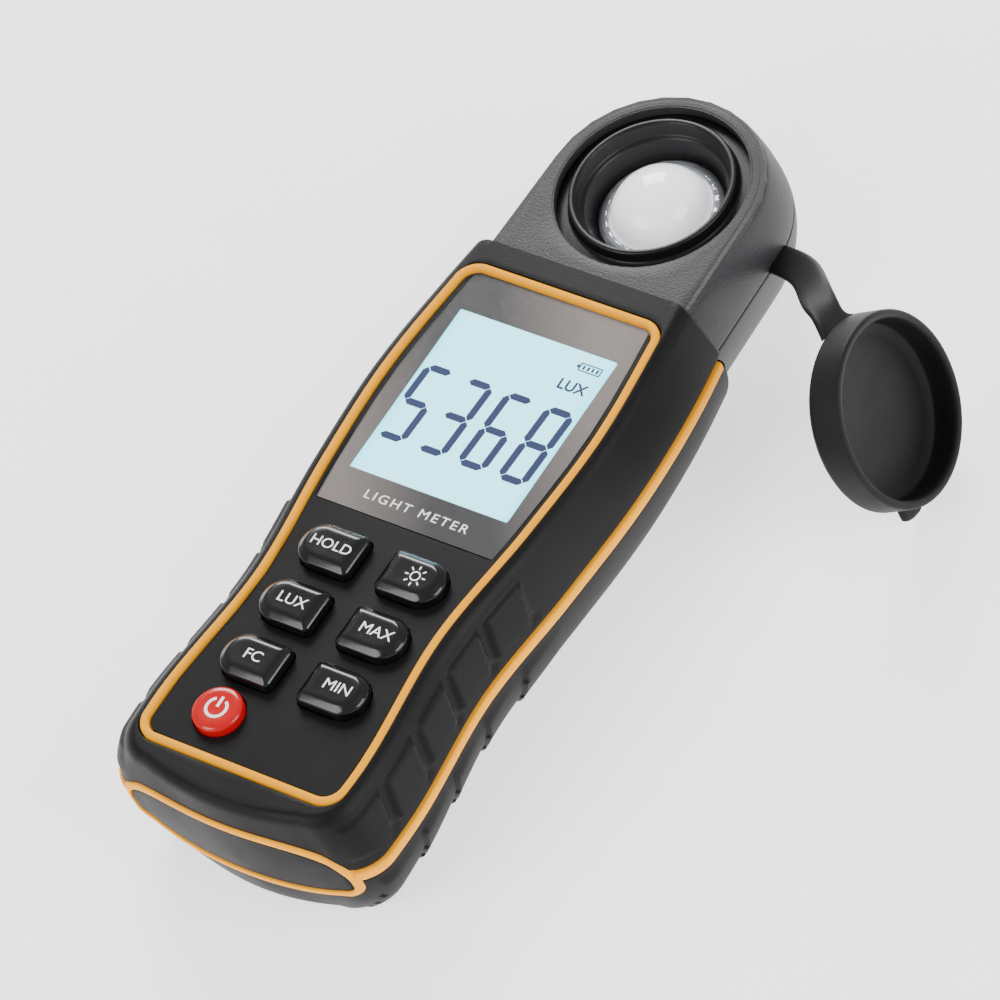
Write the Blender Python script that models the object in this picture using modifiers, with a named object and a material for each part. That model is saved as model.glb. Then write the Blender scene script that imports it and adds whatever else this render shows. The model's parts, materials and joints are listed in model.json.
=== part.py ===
"""Handheld light meter with a domed sensor in its head and a rubber sensor cap on a strap.

The meter lies on its back: +Z points out of the display, +Y towards the sensor head and +X
towards the side that carries the cap. The origin is on the flat of the back, at mid-length.
Sizes below are in millimetres and are scaled to metres when a mesh is made.
"""
import math

import bmesh
import bpy
import numpy as np
from mathutils import Matrix, Vector

MM = 0.001

# Overall sizes
LENGTH = 178.5
WIDTH = 63.5
THICKNESS = 31.0
GAP = 0.3

# Walls and layers
GRIP_WALL = 1.8
GRIP_LEDGE = 2.6
CASE_WALL = 2.0
SEAM_Z = 16.6
BAND_LOW = 16.3
BAND_HIGH = 18.7
BAND_PROUD = 0.5
BAND_DEPTH = 1.9

# Lengthwise layout, from the middle of the body
END_Y = -LENGTH / 2
HEAD_LENGTH = 47.7
BOOT_Y = LENGTH / 2 - HEAD_LENGTH
END_CORNER = 8.0
END_BOW = 2.6
END_LEAN_TOP = 1.0
END_LEAN_BACK = 2.2

# Half-widths of the body, as shares of the full width, at shares of the full length
BELT = ((-0.50, 0.470), (-0.40, 0.478), (-0.235, 0.4425), (-0.10, 0.476), (0.05, 0.4965),
        (0.17, 0.474), (0.235, 0.447))
SHOULDER = ((-0.50, 0.380), (-0.41, 0.396), (-0.225, 0.3605), (-0.08, 0.403), (0.05, 0.421),
            (0.17, 0.394), (0.235, 0.372))
BACK_TAPER = 0.105 * WIDTH
BOOT_LAP = 8.0

# Places along the sides that grips and case share, so that their faces run parallel, and heights
FLANK_Y = np.linspace(END_Y + END_CORNER + END_BOW + 3.0, BOOT_Y - BOOT_LAP, 11)
GRIP_LEVELS = (1.2, 4.0, 9.0, BAND_LOW, BAND_HIGH, 23.5, 28.0)
CASE_LEVELS = (4.5, 9.0, 22.0, 26.0)

# Front panel and its orange frame
PANEL_LOW = 28.4
FRAME_WIDE = 1.7
FRAME_PROUD = 0.5
FRAME_INSET = 1.6
FRAME_END = END_Y + 7.9
FRAME_TOP = BOOT_Y - 5.4
FRAME_CORNER = 5.0

# Display
DISPLAY_HALF = 0.286 * WIDTH
DISPLAY_LOW = -0.078 * LENGTH
DISPLAY_HIGH = 0.144 * LENGTH
LENS_LOW = -0.1245 * LENGTH
LENS_HIGH = 0.1925 * LENGTH
LENS_THICK = 1.2
LCD_HALF = DISPLAY_HALF + 1.0

# Keys
KEY_WIDE = 13.2
KEY_TALL = 9.6
KEY_RISE = 2.6
KEY_FLANGE = 1.0
KEY_TRAVEL = 0.8
KEY_INNER_CORNER = 1.4
KEY_MIDDLE = 5.94
KEY_COLUMN = (KEY_WIDE + KEY_MIDDLE) / 2
KEY_ROWS = (-0.1815 * LENGTH, -0.257 * LENGTH, -0.332 * LENGTH)
POWER_ROW = -0.3995 * LENGTH
POWER_RADIUS = 5.0
POWER_RISE = 1.8

# Electronics
BOARD_TOP = 22.4
BOARD_THICK = 1.6
BOARD_HALF = 18.6
BOARD_LOW = END_Y + 13.2
BOARD_HIGH = BOOT_Y - 9.9
LCD_LOW = 24.7
LCD_HIGH = 27.3
KEY_DOME_RISE = 1.15
KEY_BASE = BOARD_TOP + KEY_DOME_RISE + KEY_TRAVEL + 0.25
CHIP_HALF = 6.0

# Sensor in the head
SENSOR_Y = LENGTH / 2 - 23.65
HEAD_TOP = 28.1
HEAD_ROOT = 26.0
HEAD_WIDE = 25.4
HEAD_SLOPE = 3.2
WELL_RADIUS = 19.36
COLLAR_RADIUS = 16.5
COLLAR_WALL = 1.3
COLLAR_FLANGE = 20.1
FUNNEL_RADIUS = 12.7
DOME_RADIUS = 10.0
DOME_HEIGHT = 9.0
DOME_BASE = 19.8

# Batteries: three AAA cells
CELL_RADIUS = 5.25
CELL_LENGTH = 44.5
CELL_PITCH = 11.2
CELL_Z = 8.4
BAY_HALF = 17.3
BAY_LENGTH = 53.0
BAY_Y = -0.246 * LENGTH
BAY_LOW = BAY_Y - BAY_LENGTH / 2
BAY_HIGH = BAY_Y + BAY_LENGTH / 2
BAY_CEILING = 15.4
BAY_WALL = 1.2
CONTACT_THICK = 0.4
DOOR_SINK = 0.4
DOOR_LOW = BAY_LOW - 5.4
DOOR_HIGH = BAY_HIGH + 1.6
DOOR_SCREW_Y = BAY_LOW - 2.7
DOOR_GROOVES = 5
DOOR_GROOVE_PITCH = 1.8

# Screws
SCREW_RADIUS = 1.2
SCREW_HEAD = 2.4
SCREW_TIP_Z = 22.0
POST_RADIUS = SCREW_RADIUS + 1.7
BOARD_POST = 1.75
BOARD_SCREW = 0.8
SENSOR_SCREW_X = 10.5
CASE_SCREWS = tuple((side * 0.268 * WIDTH, y) for side in (-1, 1) for y in (END_Y + 9.9, BOOT_Y - 5.8))

# Rubber cap, standing open on its edge beside the head
CAP_RADIUS = 18.7
CAP_BORE = 16.9
CAP_DEPTH = 6.0
CAP_FLOOR = 1.8
CAP_CENTRE = Vector((69.9, SENSOR_Y - 25.0, 22.4))
CAP_HEADING = math.radians(12.6)
CAP_LEAN = math.radians(21.2)
STRAP_WIDE = 6.6
STRAP_THICK = 1.8
STRAP_Y = SENSOR_Y + 0.4
TAB_LENGTH = 2.6
STRAP_TURN = math.radians(-26.0)
HINGE_SHARES = (0.115, 0.634)
HINGE_SLACK = 0.006
SHARP_ANGLE = math.radians(32)

ORANGE = (0.91, 0.37, 0.02)
RUBBER = (0.022, 0.022, 0.024)


def clear_scene():
    """Remove every object, so that the model starts from nothing."""
    for item in list(bpy.data.objects):
        bpy.data.objects.remove(item, do_unlink=True)


def new_collection(name):
    """Add a collection to the scene."""
    collection = bpy.data.collections.new(name)
    bpy.context.scene.collection.children.link(collection)
    return collection


def finish_material(name, colour, roughness, metallic=0.0, clear=0.0):
    """Make a plain Principled finish."""
    material = bpy.data.materials.new(name)
    material.use_nodes = True
    shader = material.node_tree.nodes["Principled BSDF"]
    shader.inputs["Base Color"].default_value = (*colour, 1.0)
    shader.inputs["Roughness"].default_value = roughness
    shader.inputs["Metallic"].default_value = metallic
    shader.inputs["Transmission Weight"].default_value = clear
    return material


clear_scene()
PARTS = new_collection("light_meter")
CUTTERS = new_collection("cutters")


def place(name, mesh, material=None):
    """Link a mesh as a part when it has a material, and as a hidden cutter otherwise."""
    item = bpy.data.objects.new(name, mesh)
    if material is None:
        CUTTERS.objects.link(item)
        item.hide_render = True
        item.display_type = "WIRE"
    else:
        PARTS.objects.link(item)
        mesh.materials.append(material)
    return item


def soften(mesh):
    """Shade a mesh smooth, keeping its real edges sharp."""
    mesh.shade_smooth()
    mesh.set_sharp_from_angle(angle=SHARP_ANGLE)


def from_bmesh(name, bm, material=None):
    """Turn a bmesh in millimetres into an object in metres."""
    bm.normal_update()
    bmesh.ops.recalc_face_normals(bm, faces=bm.faces)
    bm.transform(Matrix.Scale(MM, 4))
    mesh = bpy.data.meshes.new(name)
    bm.to_mesh(mesh)
    bm.free()
    soften(mesh)
    return place(name, mesh, material)


def hang(item, point):
    """Give a moving part its origin on its joint's axis, leaving its shape where it is."""
    offset = Vector(point) * MM
    item.data.transform(Matrix.Translation(-offset))
    item.location = offset


def block(name, low, high, material=None, bevel=0.0):
    """A box between two corners, with bevelled edges where asked."""
    low = Vector(low)
    high = Vector(high)
    bm = bmesh.new()
    bmesh.ops.create_cube(bm, size=1.0)
    bmesh.ops.scale(bm, vec=high - low, verts=bm.verts)
    bmesh.ops.translate(bm, vec=(low + high) / 2, verts=bm.verts)
    if bevel:
        bmesh.ops.bevel(bm, geom=bm.edges, offset=bevel, segments=1, affect="EDGES")
    return from_bmesh(name, bm, material)


def round_bar(name, start, end, radius, material=None, sides=24, tip=None):
    """A cylinder, or a cone when the tip radius differs, between two points."""
    start = Vector(start)
    end = Vector(end)
    span = end - start
    tip = radius if tip is None else tip
    bm = bmesh.new()
    bmesh.ops.create_cone(bm, cap_ends=True, segments=sides, radius1=radius, radius2=tip,
                          depth=span.length)
    turn = span.to_track_quat("Z", "Y").to_matrix().to_4x4()
    bm.transform(Matrix.Translation((start + end) / 2) @ turn)
    return from_bmesh(name, bm, material)


def turned(name, profile, centre, material=None, sides=48):
    """A profile of (radius, height) turned about the vertical, running down its outer side."""
    points = [(radius * MM, 0.0, height * MM) for radius, height in profile]
    closed = profile[0][0] > 0.0
    edges = [(i, i + 1) for i in range(len(points) - 1)]
    if closed:
        edges.append((len(points) - 1, 0))
    mesh = bpy.data.meshes.new(name)
    mesh.from_pydata(points, edges, [])
    item = place(name, mesh, material)
    item.location = Vector(centre) * MM
    screw = item.modifiers.new("turn", "SCREW")
    screw.steps = sides
    screw.render_steps = sides
    screw.use_smooth_shade = True
    screw.use_merge_vertices = True
    screw.merge_threshold = 0.00001
    return item


def plate(name, outlines, low, high, material=None):
    """Flat outlines, the first filled and the others holes in it, given a thickness."""
    curve = bpy.data.curves.new(name, "CURVE")
    curve.dimensions = "2D"
    curve.fill_mode = "BOTH"
    curve.extrude = (high - low) / 2 * MM
    for outline in outlines:
        spline = curve.splines.new("POLY")
        spline.points.add(len(outline) - 1)
        for point, (x, y) in zip(spline.points, outline):
            point.co = (x * MM, y * MM, 0.0, 1.0)
        spline.use_cyclic_u = True
    shape = bpy.data.objects.new(name, curve)
    CUTTERS.objects.link(shape)
    evaluated = shape.evaluated_get(bpy.context.evaluated_depsgraph_get())
    mesh = bpy.data.meshes.new_from_object(evaluated)
    bpy.data.objects.remove(shape)
    bm = bmesh.new()
    bm.from_mesh(mesh)
    bmesh.ops.remove_doubles(bm, verts=bm.verts, dist=0.00001)
    bmesh.ops.translate(bm, vec=(0, 0, (low + high) / 2 * MM), verts=bm.verts)
    bmesh.ops.recalc_face_normals(bm, faces=bm.faces)
    bm.to_mesh(mesh)
    bm.free()
    mesh.name = name
    soften(mesh)
    return place(name, mesh, material)


def loft(name, rings, material=None):
    """Rings of equal point counts joined by quads, and closed by a flat face at each end."""
    bm = bmesh.new()
    rows = [[bm.verts.new(Vector(point)) for point in ring] for ring in rings]
    count = len(rows[0])
    for lower, upper in zip(rows, rows[1:]):
        for i in range(count):
            bm.faces.new((lower[i], lower[(i + 1) % count], upper[(i + 1) % count], upper[i]))
    bm.faces.new(list(reversed(rows[0])))
    bm.faces.new(rows[-1])
    return from_bmesh(name, bm, material)


def boolean(target, tool, operation="DIFFERENCE"):
    """Cut a part with a tool, or join or intersect them."""
    modifier = target.modifiers.new(tool.name, "BOOLEAN")
    modifier.operation = operation
    modifier.solver = "EXACT"
    modifier.object = tool


def cut(target, *tools):
    """Cut a part with several tools."""
    for tool in tools:
        boolean(target, tool)


def smooth(stations, y):
    """Height of a smooth curve through stations, given as shares of the length and the width."""
    places = np.array([station[0] for station in stations]) * LENGTH
    values = np.array([station[1] for station in stations]) * WIDTH
    slopes = np.gradient(values, places)
    i = np.clip(np.searchsorted(places, y) - 1, 0, len(places) - 2)
    step = places[i + 1] - places[i]
    t = np.clip((y - places[i]) / step, 0.0, 1.0)
    start = values[i] * (2 * t**3 - 3 * t**2 + 1) + slopes[i] * step * (t**3 - 2 * t**2 + t)
    end = values[i + 1] * (3 * t**2 - 2 * t**3) + slopes[i + 1] * step * (t**3 - t**2)
    return start + end


def body_half_width(y, z):
    """Half-width of the body: widest at its belt, narrower to the shoulder and to the back."""
    belt = smooth(BELT, y)
    if z > BAND_HIGH:
        share = (z - BAND_HIGH) / (THICKNESS - BAND_HIGH)
        return belt + (smooth(SHOULDER, y) - belt) * share**1.25
    share = np.clip((BAND_LOW - z) / BAND_LOW, 0.0, 1.0)
    return belt - BACK_TAPER * share**2.2


def body_end(z):
    """Place of the body's lower end at a height."""
    if z > BAND_HIGH:
        return END_Y + END_LEAN_TOP * ((z - BAND_HIGH) / (THICKNESS - BAND_HIGH))**2
    return END_Y + END_LEAN_BACK * (np.clip(BAND_LOW - z, 0.0, None) / BAND_LOW)**2


def head_half_width(y, z):
    """Half-width of the head: it slopes in from the seam towards both faces."""
    share = np.clip((y - BOOT_Y) / (SENSOR_Y - BOOT_Y), 0.0, 1.0)
    seam = HEAD_ROOT + (HEAD_WIDE - HEAD_ROOT) * share
    return seam - HEAD_SLOPE * (abs(z - SEAM_Z) / (HEAD_TOP - SEAM_Z))**1.8


def lower_end(inset, z, half_width):
    """Right half of the lower end: a bowed edge, and a round corner up to the side."""
    start = body_end(z) + inset
    radius = END_CORNER - min(inset, 4.0)
    corner_y = start + END_BOW + radius
    side = half_width(corner_y, z) - inset
    across = np.linspace(0.0, side - radius, 4)
    bow = np.stack([across, start + END_BOW * (across / (side - radius))**2], axis=1)
    angle = np.radians(np.linspace(-72, 0, 4))
    corner = np.stack([side - radius + radius * np.cos(angle), corner_y + radius * np.sin(angle)],
                      axis=1)
    return np.concatenate([bow, corner])


def mirrored(right):
    """Close a right half, from bottom centre to top, with its mirror image."""
    left = right[::-1] * (-1, 1)
    inner = [point for point in left if abs(point[0]) > 1e-6]
    return np.concatenate([right, inner])


def body_outline(inset, z, top):
    """Outline of the body at a height, moved in by an inset and ending at a flat top edge."""
    lower = lower_end(inset, z, body_half_width)
    y = np.concatenate([FLANK_Y, [BOOT_Y, top] if top > BOOT_Y else [top]])
    side = np.stack([body_half_width(y, z) - inset, y], axis=1)
    return mirrored(np.concatenate([lower, side]))


def case_half_width(y, z):
    """Half-width of the hard case: inside the grips, then out along the head."""
    share = np.clip((y - BOOT_Y + BOOT_LAP) / BOOT_LAP, 0.0, 1.0)
    return (body_half_width(np.minimum(y, BOOT_Y), z) - GRIP_WALL - GAP) * (1 - share) \
        + np.minimum(head_half_width(y, z), body_half_width(BOOT_Y, z) - GRIP_WALL - GAP) * share


def case_outline(inset, z):
    """Outline of the hard case at a height, with the round end of its head."""
    lower = lower_end(inset + GRIP_WALL + GAP, z, body_half_width)
    y = np.concatenate([FLANK_Y, np.linspace(BOOT_Y - BOOT_LAP, SENSOR_Y, 5)[1:]])
    side = np.stack([case_half_width(y, z) - inset, y], axis=1)
    reach = LENGTH / 2 - SENSOR_Y - (HEAD_WIDE - head_half_width(SENSOR_Y, z)) * 0.55
    angle = np.radians(np.linspace(0, 90, 8)[1:])
    wide = case_half_width(SENSOR_Y, z) - inset
    arc = np.stack([wide * np.cos(angle), SENSOR_Y + (reach - inset) * np.sin(angle)], axis=1)
    return mirrored(np.concatenate([lower, side, arc]))


def raised(outline, z):
    """Lift a flat outline to a height."""
    return [(x, y, z) for x, y in outline]


def body_solid(name, inset, low, high, top=BOOT_Y, material=None):
    """Part of the body between two heights, moved in by an inset."""
    steps = [z for z in GRIP_LEVELS if low < z < high]
    heights = [low, *steps, high]
    return loft(name, [raised(body_outline(inset, z, top), z) for z in heights], material)


def case_solid(name, inset, low, high, material=None):
    """Part of the hard case between two heights, moved in by an inset."""
    steps = [z for z in CASE_LEVELS if low < z < high]
    heights = [low, *steps, high]
    return loft(name, [raised(case_outline(inset, z), z) for z in heights], material)


def frame_outline(inset):
    """Outline of the panel frame, moved in by an inset."""
    radius = FRAME_CORNER - inset

    def half(y):
        return smooth(SHOULDER, y) - FRAME_INSET - inset

    low = FRAME_END + inset
    high = FRAME_TOP - inset
    y = np.linspace(low + radius, high - radius, 13)
    side = np.stack([half(y), y], axis=1)
    angle = np.radians(np.linspace(0, 90, 5))
    turn = np.stack([np.cos(angle), np.sin(angle)], axis=1) * radius
    bottom = turn[::-1] * (1, -1) + (half(low + radius) - radius, low + radius)
    upper = turn + (half(high - radius) - radius, high - radius)
    right = np.concatenate([bottom[:-1], side, upper[1:]])
    return np.concatenate([right, right[::-1] * (-1, 1)])


def rounded(x, y, half_wide, half_tall, radii, steps=5):
    """A rectangle with its own corner radius at lower right, upper right, upper left, lower left."""
    points = []
    signs = ((1, -1, -90), (1, 1, 0), (-1, 1, 90), (-1, -1, 180))
    for (side, rise, first), radius in zip(signs, radii):
        for angle in np.radians(np.linspace(first, first + 90, steps)):
            points.append((x + side * (half_wide - radius) + radius * math.cos(angle),
                           y + rise * (half_tall - radius) + radius * math.sin(angle)))
    return points


def circle(x, y, radius, steps=32):
    """Points round a circle."""
    angles = np.linspace(0, 2 * math.pi, steps, endpoint=False)
    return [(x + radius * math.cos(a), y + radius * math.sin(a)) for a in angles]


def end_window(name, grow, material=None):
    """A prism along Y with the lens-shaped outline of the end panel."""
    half = 0.425 * WIDTH + grow
    high = 0.80 * THICKNESS + grow
    low = 0.27 * THICKNESS - grow
    middle = (BAND_LOW + BAND_HIGH) / 2
    angle = np.radians(np.linspace(0, 360, 24, endpoint=False))
    x = half * np.sign(np.cos(angle)) * np.abs(np.cos(angle))**0.72
    rise = np.where(np.sin(angle) > 0, high - middle, middle - low)
    z = middle + rise * np.sign(np.sin(angle)) * np.abs(np.sin(angle))**0.9
    start = END_Y - 4.0
    stop = END_Y + 6.4
    return loft(name, [list(zip(x, np.full_like(x, y), z)) for y in (start, stop)], material)


def keys_layout():
    """Name, centre and side of each oblong key."""
    left = ("hold_key", "lux_key", "fc_key")
    right = ("light_key", "max_key", "min_key")
    for names, side in ((left, -1), (right, 1)):
        for name, y in zip(names, KEY_ROWS):
            yield name, side * KEY_COLUMN, y, side


def key_outline(x, y, side, grow, half_wide=KEY_WIDE / 2, half_tall=KEY_TALL / 2):
    """Outline of an oblong key: fully round on its outer side, nearly square on its inner side."""
    near = KEY_INNER_CORNER
    far = half_tall - 0.2
    radii = (far, far, near, near) if side > 0 else (near, near, far, far)
    radii = [max(radius + grow, 0.5) for radius in radii]
    return rounded(x, y, half_wide + grow, half_tall + grow, radii, steps=4)


def key_hole(name, x, y, side, low, high):
    """Cutter for the hole that a key passes through."""
    outline = circle(x, y, POWER_RADIUS + GAP) if side == 0 else key_outline(x, y, side, GAP)
    return plate(name, [outline], low, high)


def all_keys():
    """Every key, with side 0 for the round power key."""
    yield from keys_layout()
    yield "power_key", -KEY_COLUMN, POWER_ROW, 0


def build_keys(black, red):
    """Seven hard keys with a flange that keeps each in its hole."""
    flange = HEAD_TOP - CASE_WALL - GAP
    for name, x, y, side in all_keys():
        if side == 0:
            top = THICKNESS + POWER_RISE
            levels = ((KEY_FLANGE, KEY_BASE), (KEY_FLANGE, flange), (0.0, flange), (0.0, top - 0.8),
                      (-0.5, top - 0.2), (-1.2, top))
            rings = [raised(circle(x, y, POWER_RADIUS + grow, 28), z) for grow, z in levels]
        else:
            top = THICKNESS + KEY_RISE
            levels = ((KEY_FLANGE, KEY_BASE), (KEY_FLANGE, flange), (0.0, flange), (0.0, top - 1.2),
                      (-0.6, top - 0.4), (-1.3, top))
            rings = [raised(key_outline(x, y, side, grow), z) for grow, z in levels]
        key = loft(name, rings, red if side == 0 else black)
        hang(key, (x, y, KEY_BASE))


def build_shells(rubber, shell, orange, plastic):
    """Rubber grips, hard case halves, side bands and the end panel with its trim."""
    window = end_window("end_window_cut", GAP)
    rear_grip = body_solid("rear_grip", 0.0, 0.0, BAND_LOW - GAP, material=rubber)
    rear_core = body_solid("rear_grip_core", GRIP_WALL, GRIP_WALL, BAND_LOW + 1, BOOT_Y + 5)
    cut(rear_grip, rear_core, window, door_plate("door_opening", GAP, -1.0, GRIP_WALL + 1))
    for i, (x, y) in enumerate(CASE_SCREWS):
        bore = round_bar(f"grip_bore_{i}", (x, y, -1), (x, y, GRIP_WALL + 1), SCREW_HEAD + GAP)
        cut(rear_grip, bore)
    front_grip = body_solid("front_grip", 0.0, BAND_HIGH + GAP, THICKNESS, material=rubber)
    front_core = body_solid("front_grip_core", GRIP_WALL, BAND_LOW, THICKNESS - GRIP_LEDGE, BOOT_Y + 5)
    opening = plate("panel_opening", [frame_outline(-GAP)], THICKNESS - GRIP_LEDGE - 1, THICKNESS + 2)
    cut(front_grip, front_core, window, opening)
    belt_core = body_solid("belt_core", BAND_DEPTH, BAND_LOW - 3, BAND_HIGH + 3, BOOT_Y + 5)
    for name, side in (("side_band_left", -1), ("side_band_right", 1)):
        band = body_solid(name, -BAND_PROUD, BAND_LOW, BAND_HIGH, BOOT_Y - 0.8, orange)
        other = sorted((0.0, -side * WIDTH))
        half = block(name + "_side", (other[0], END_Y - 5, 0), (other[1], BOOT_Y + 5, THICKNESS))
        cut(band, belt_core, half, window)
    end_core = body_solid("end_core", BAND_DEPTH, 3.0, THICKNESS - 2.6)
    trim = body_solid("end_trim", -BAND_PROUD, 4.0, THICKNESS - 3.0, END_Y + 20, orange)
    boolean(trim, end_window("trim_outline", 0.0), "INTERSECT")
    cut(trim, end_window("trim_inside", -1.6), end_core)
    panel = body_solid("end_panel", 0.0, 4.0, THICKNESS - 3.0, END_Y + 20, plastic)
    boolean(panel, end_window("panel_outline", -1.6 - GAP), "INTERSECT")
    cut(panel, end_core)
    build_front_case(shell)
    build_rear_case(shell)


def well_hole(name, radius, low, high):
    """Cutter on the sensor's axis."""
    return round_bar(name, (0, SENSOR_Y, low), (0, SENSOR_Y, high), radius, sides=48)


def board_screw_places():
    """Where the four board screws go, between the keys and above the display."""
    yield from ((side * 12.0, DISPLAY_HIGH + 3.9) for side in (-1, 1))
    yield 0.0, (KEY_ROWS[0] + KEY_ROWS[1]) / 2
    yield 0.0, (KEY_ROWS[2] + POWER_ROW) / 2


def build_front_case(shell):
    """Front half of the hard case, with the head's sensor well, key holes and screw posts."""
    case = case_solid("front_case", 0.0, SEAM_Z + GAP / 2, HEAD_TOP, shell)
    core = case_solid("front_case_core", CASE_WALL, SEAM_Z - 2, HEAD_TOP - CASE_WALL)
    cut(case, core, well_hole("sensor_well", WELL_RADIUS, 20, 40), strap_slot("front_slot"))
    roof = HEAD_TOP - CASE_WALL
    for name, x, y, side in all_keys():
        cut(case, key_hole(name + "_case_hole", x, y, side, roof - 1, HEAD_TOP + 1))
    low, high = lcd_span(GAP)
    cut(case, block("lcd_opening", (-LCD_HALF - GAP, low, roof - 1), (LCD_HALF + GAP, high, HEAD_TOP + 1)))
    for i, (x, y) in enumerate(CASE_SCREWS):
        post = round_bar(f"front_post_{i}", (x, y, SEAM_Z + GAP), (x, y, roof + 1), POST_RADIUS)
        boolean(case, post, "UNION")
        cut(case, round_bar(f"front_bore_{i}", (x, y, SEAM_Z - 1), (x, y, roof - 0.5), SCREW_RADIUS + GAP))
    for i, (x, y) in enumerate(board_screw_places()):
        post = round_bar(f"board_post_{i}", (x, y, BOARD_TOP + GAP), (x, y, roof + 1), BOARD_POST, sides=16)
        boolean(case, post, "UNION")
        cut(case, round_bar(f"board_bore_{i}", (x, y, BOARD_TOP - 1), (x, y, roof - 0.4),
                            BOARD_SCREW + GAP / 2, sides=16))


def door_plate(name, grow, low, high, material=None):
    """The battery door's outline, given a thickness."""
    middle = (DOOR_LOW + DOOR_HIGH) / 2
    half_tall = (DOOR_HIGH - DOOR_LOW) / 2
    outline = rounded(0.0, middle, BAY_HALF + grow, half_tall + grow, [1.6 + grow] * 4)
    return plate(name, [outline], low, high, material)


def build_rear_case(shell):
    """Rear half of the hard case, with the battery bay, the screw posts and the strap's seat."""
    floor = GRIP_WALL + GAP
    case = case_solid("rear_case", 0.0, floor, SEAM_Z - GAP / 2, shell)
    core = case_solid("rear_case_core", CASE_WALL, floor + CASE_WALL, SEAM_Z + 2)
    cut(case, core)
    walls = block("bay_walls", (-BAY_HALF - BAY_WALL, BAY_LOW - BAY_WALL, floor + 0.6),
                  (BAY_HALF + BAY_WALL, BAY_HIGH + BAY_WALL, BAY_CEILING))
    boolean(case, walls, "UNION")
    for i, (x, y) in enumerate(CASE_SCREWS):
        post = round_bar(f"rear_post_{i}", (x, y, floor + 0.5), (x, y, SEAM_Z - GAP), POST_RADIUS)
        boolean(case, post, "UNION")
        cut(case, round_bar(f"rear_bore_{i}", (x, y, 0), (x, y, SEAM_Z + 1), SCREW_RADIUS + GAP))
    boss = round_bar("door_boss", (0, DOOR_SCREW_Y, floor + 0.5), (0, DOOR_SCREW_Y, 7.5), 2.6)
    boolean(case, boss, "UNION")
    cut(case, round_bar("door_bore", (0, DOOR_SCREW_Y, 0), (0, DOOR_SCREW_Y, 6.3), SCREW_RADIUS + GAP),
        block("bay", (-BAY_HALF, BAY_LOW, 0), (BAY_HALF, BAY_HIGH, BAY_CEILING - BAY_WALL)),
        strap_slot("rear_slot"))


def frame_and_panel(orange, plastic, mirror, clear):
    """Orange panel frame, black face plate, display bezel and the clear lens over it."""
    plate("panel_frame", [frame_outline(0.0), frame_outline(FRAME_WIDE)], PANEL_LOW,
          THICKNESS + FRAME_PROUD, orange)
    face_top = THICKNESS - 0.3
    face = plate("face_plate", [frame_outline(FRAME_WIDE + GAP)], PANEL_LOW, face_top, plastic)
    cut(face, plate("lens_opening", [lens_outline(GAP)], PANEL_LOW - 1, face_top + 1))
    for name, x, y, side in all_keys():
        cut(face, key_hole(name + "_face_hole", x, y, side, PANEL_LOW - 1, face_top + 1))
    bezel_top = face_top - LENS_THICK - GAP
    middle = (DISPLAY_LOW + DISPLAY_HIGH) / 2
    window = rounded(0.0, middle, DISPLAY_HALF, (DISPLAY_HIGH - DISPLAY_LOW) / 2, [0.6] * 4, 3)
    plate("display_bezel", [lens_outline(0.0), window], PANEL_LOW, bezel_top, mirror)
    plate("display_lens", [lens_outline(0.0)], face_top - LENS_THICK, face_top, clear)


def lens_outline(grow):
    """Outline of the lens over the display: its sides run beside the panel frame."""
    margin = FRAME_INSET + FRAME_WIDE + 1.5 - grow
    y = np.linspace(LENS_LOW - grow, LENS_HIGH + grow - 2.0, 8)
    side = np.stack([smooth(SHOULDER, y) - margin, y], axis=1)
    angle = np.radians(np.linspace(18, 90, 4))
    corner = np.stack([side[-1, 0] - 2.0 + 2.0 * np.cos(angle), y[-1] + 2.0 * np.sin(angle)], axis=1)
    right = np.concatenate([side, corner])
    return np.concatenate([right, right[::-1] * (-1, 1)])


def lcd_span(grow):
    """Lower and upper edge of the display glass, whose lower ledge meets the connector."""
    return DISPLAY_LOW - 3.4 - grow, DISPLAY_HIGH + 0.8 + grow


def build_display(glass, white, rubber, plastic):
    """Display glass, its holder, the backlight and the elastomer connector."""
    low, high = lcd_span(0.0)
    block("lcd_glass", (-LCD_HALF, low, LCD_LOW), (LCD_HALF, high, LCD_HIGH), glass)
    base = BOARD_TOP + GAP
    block("backlight_panel", (-DISPLAY_HALF - 0.4, DISPLAY_LOW - 0.4, base),
          (DISPLAY_HALF + 0.4, DISPLAY_HIGH + 0.4, LCD_LOW - GAP), white)
    block("lcd_connector", (-DISPLAY_HALF + 1, low + 0.5, base),
          (DISPLAY_HALF - 1, low + 2.4, LCD_LOW - GAP), rubber)
    inner_low, inner_high = lcd_span(GAP)
    outlines = []
    for grow in (GAP + 0.7, GAP):
        tall = (inner_high - inner_low) / 2 + grow - GAP
        outlines.append(rounded(0.0, (low + high) / 2, LCD_HALF + grow, tall, [0.5] * 4, 2))
    plate("lcd_holder", outlines, base, HEAD_TOP - CASE_WALL - GAP, plastic)


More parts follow.
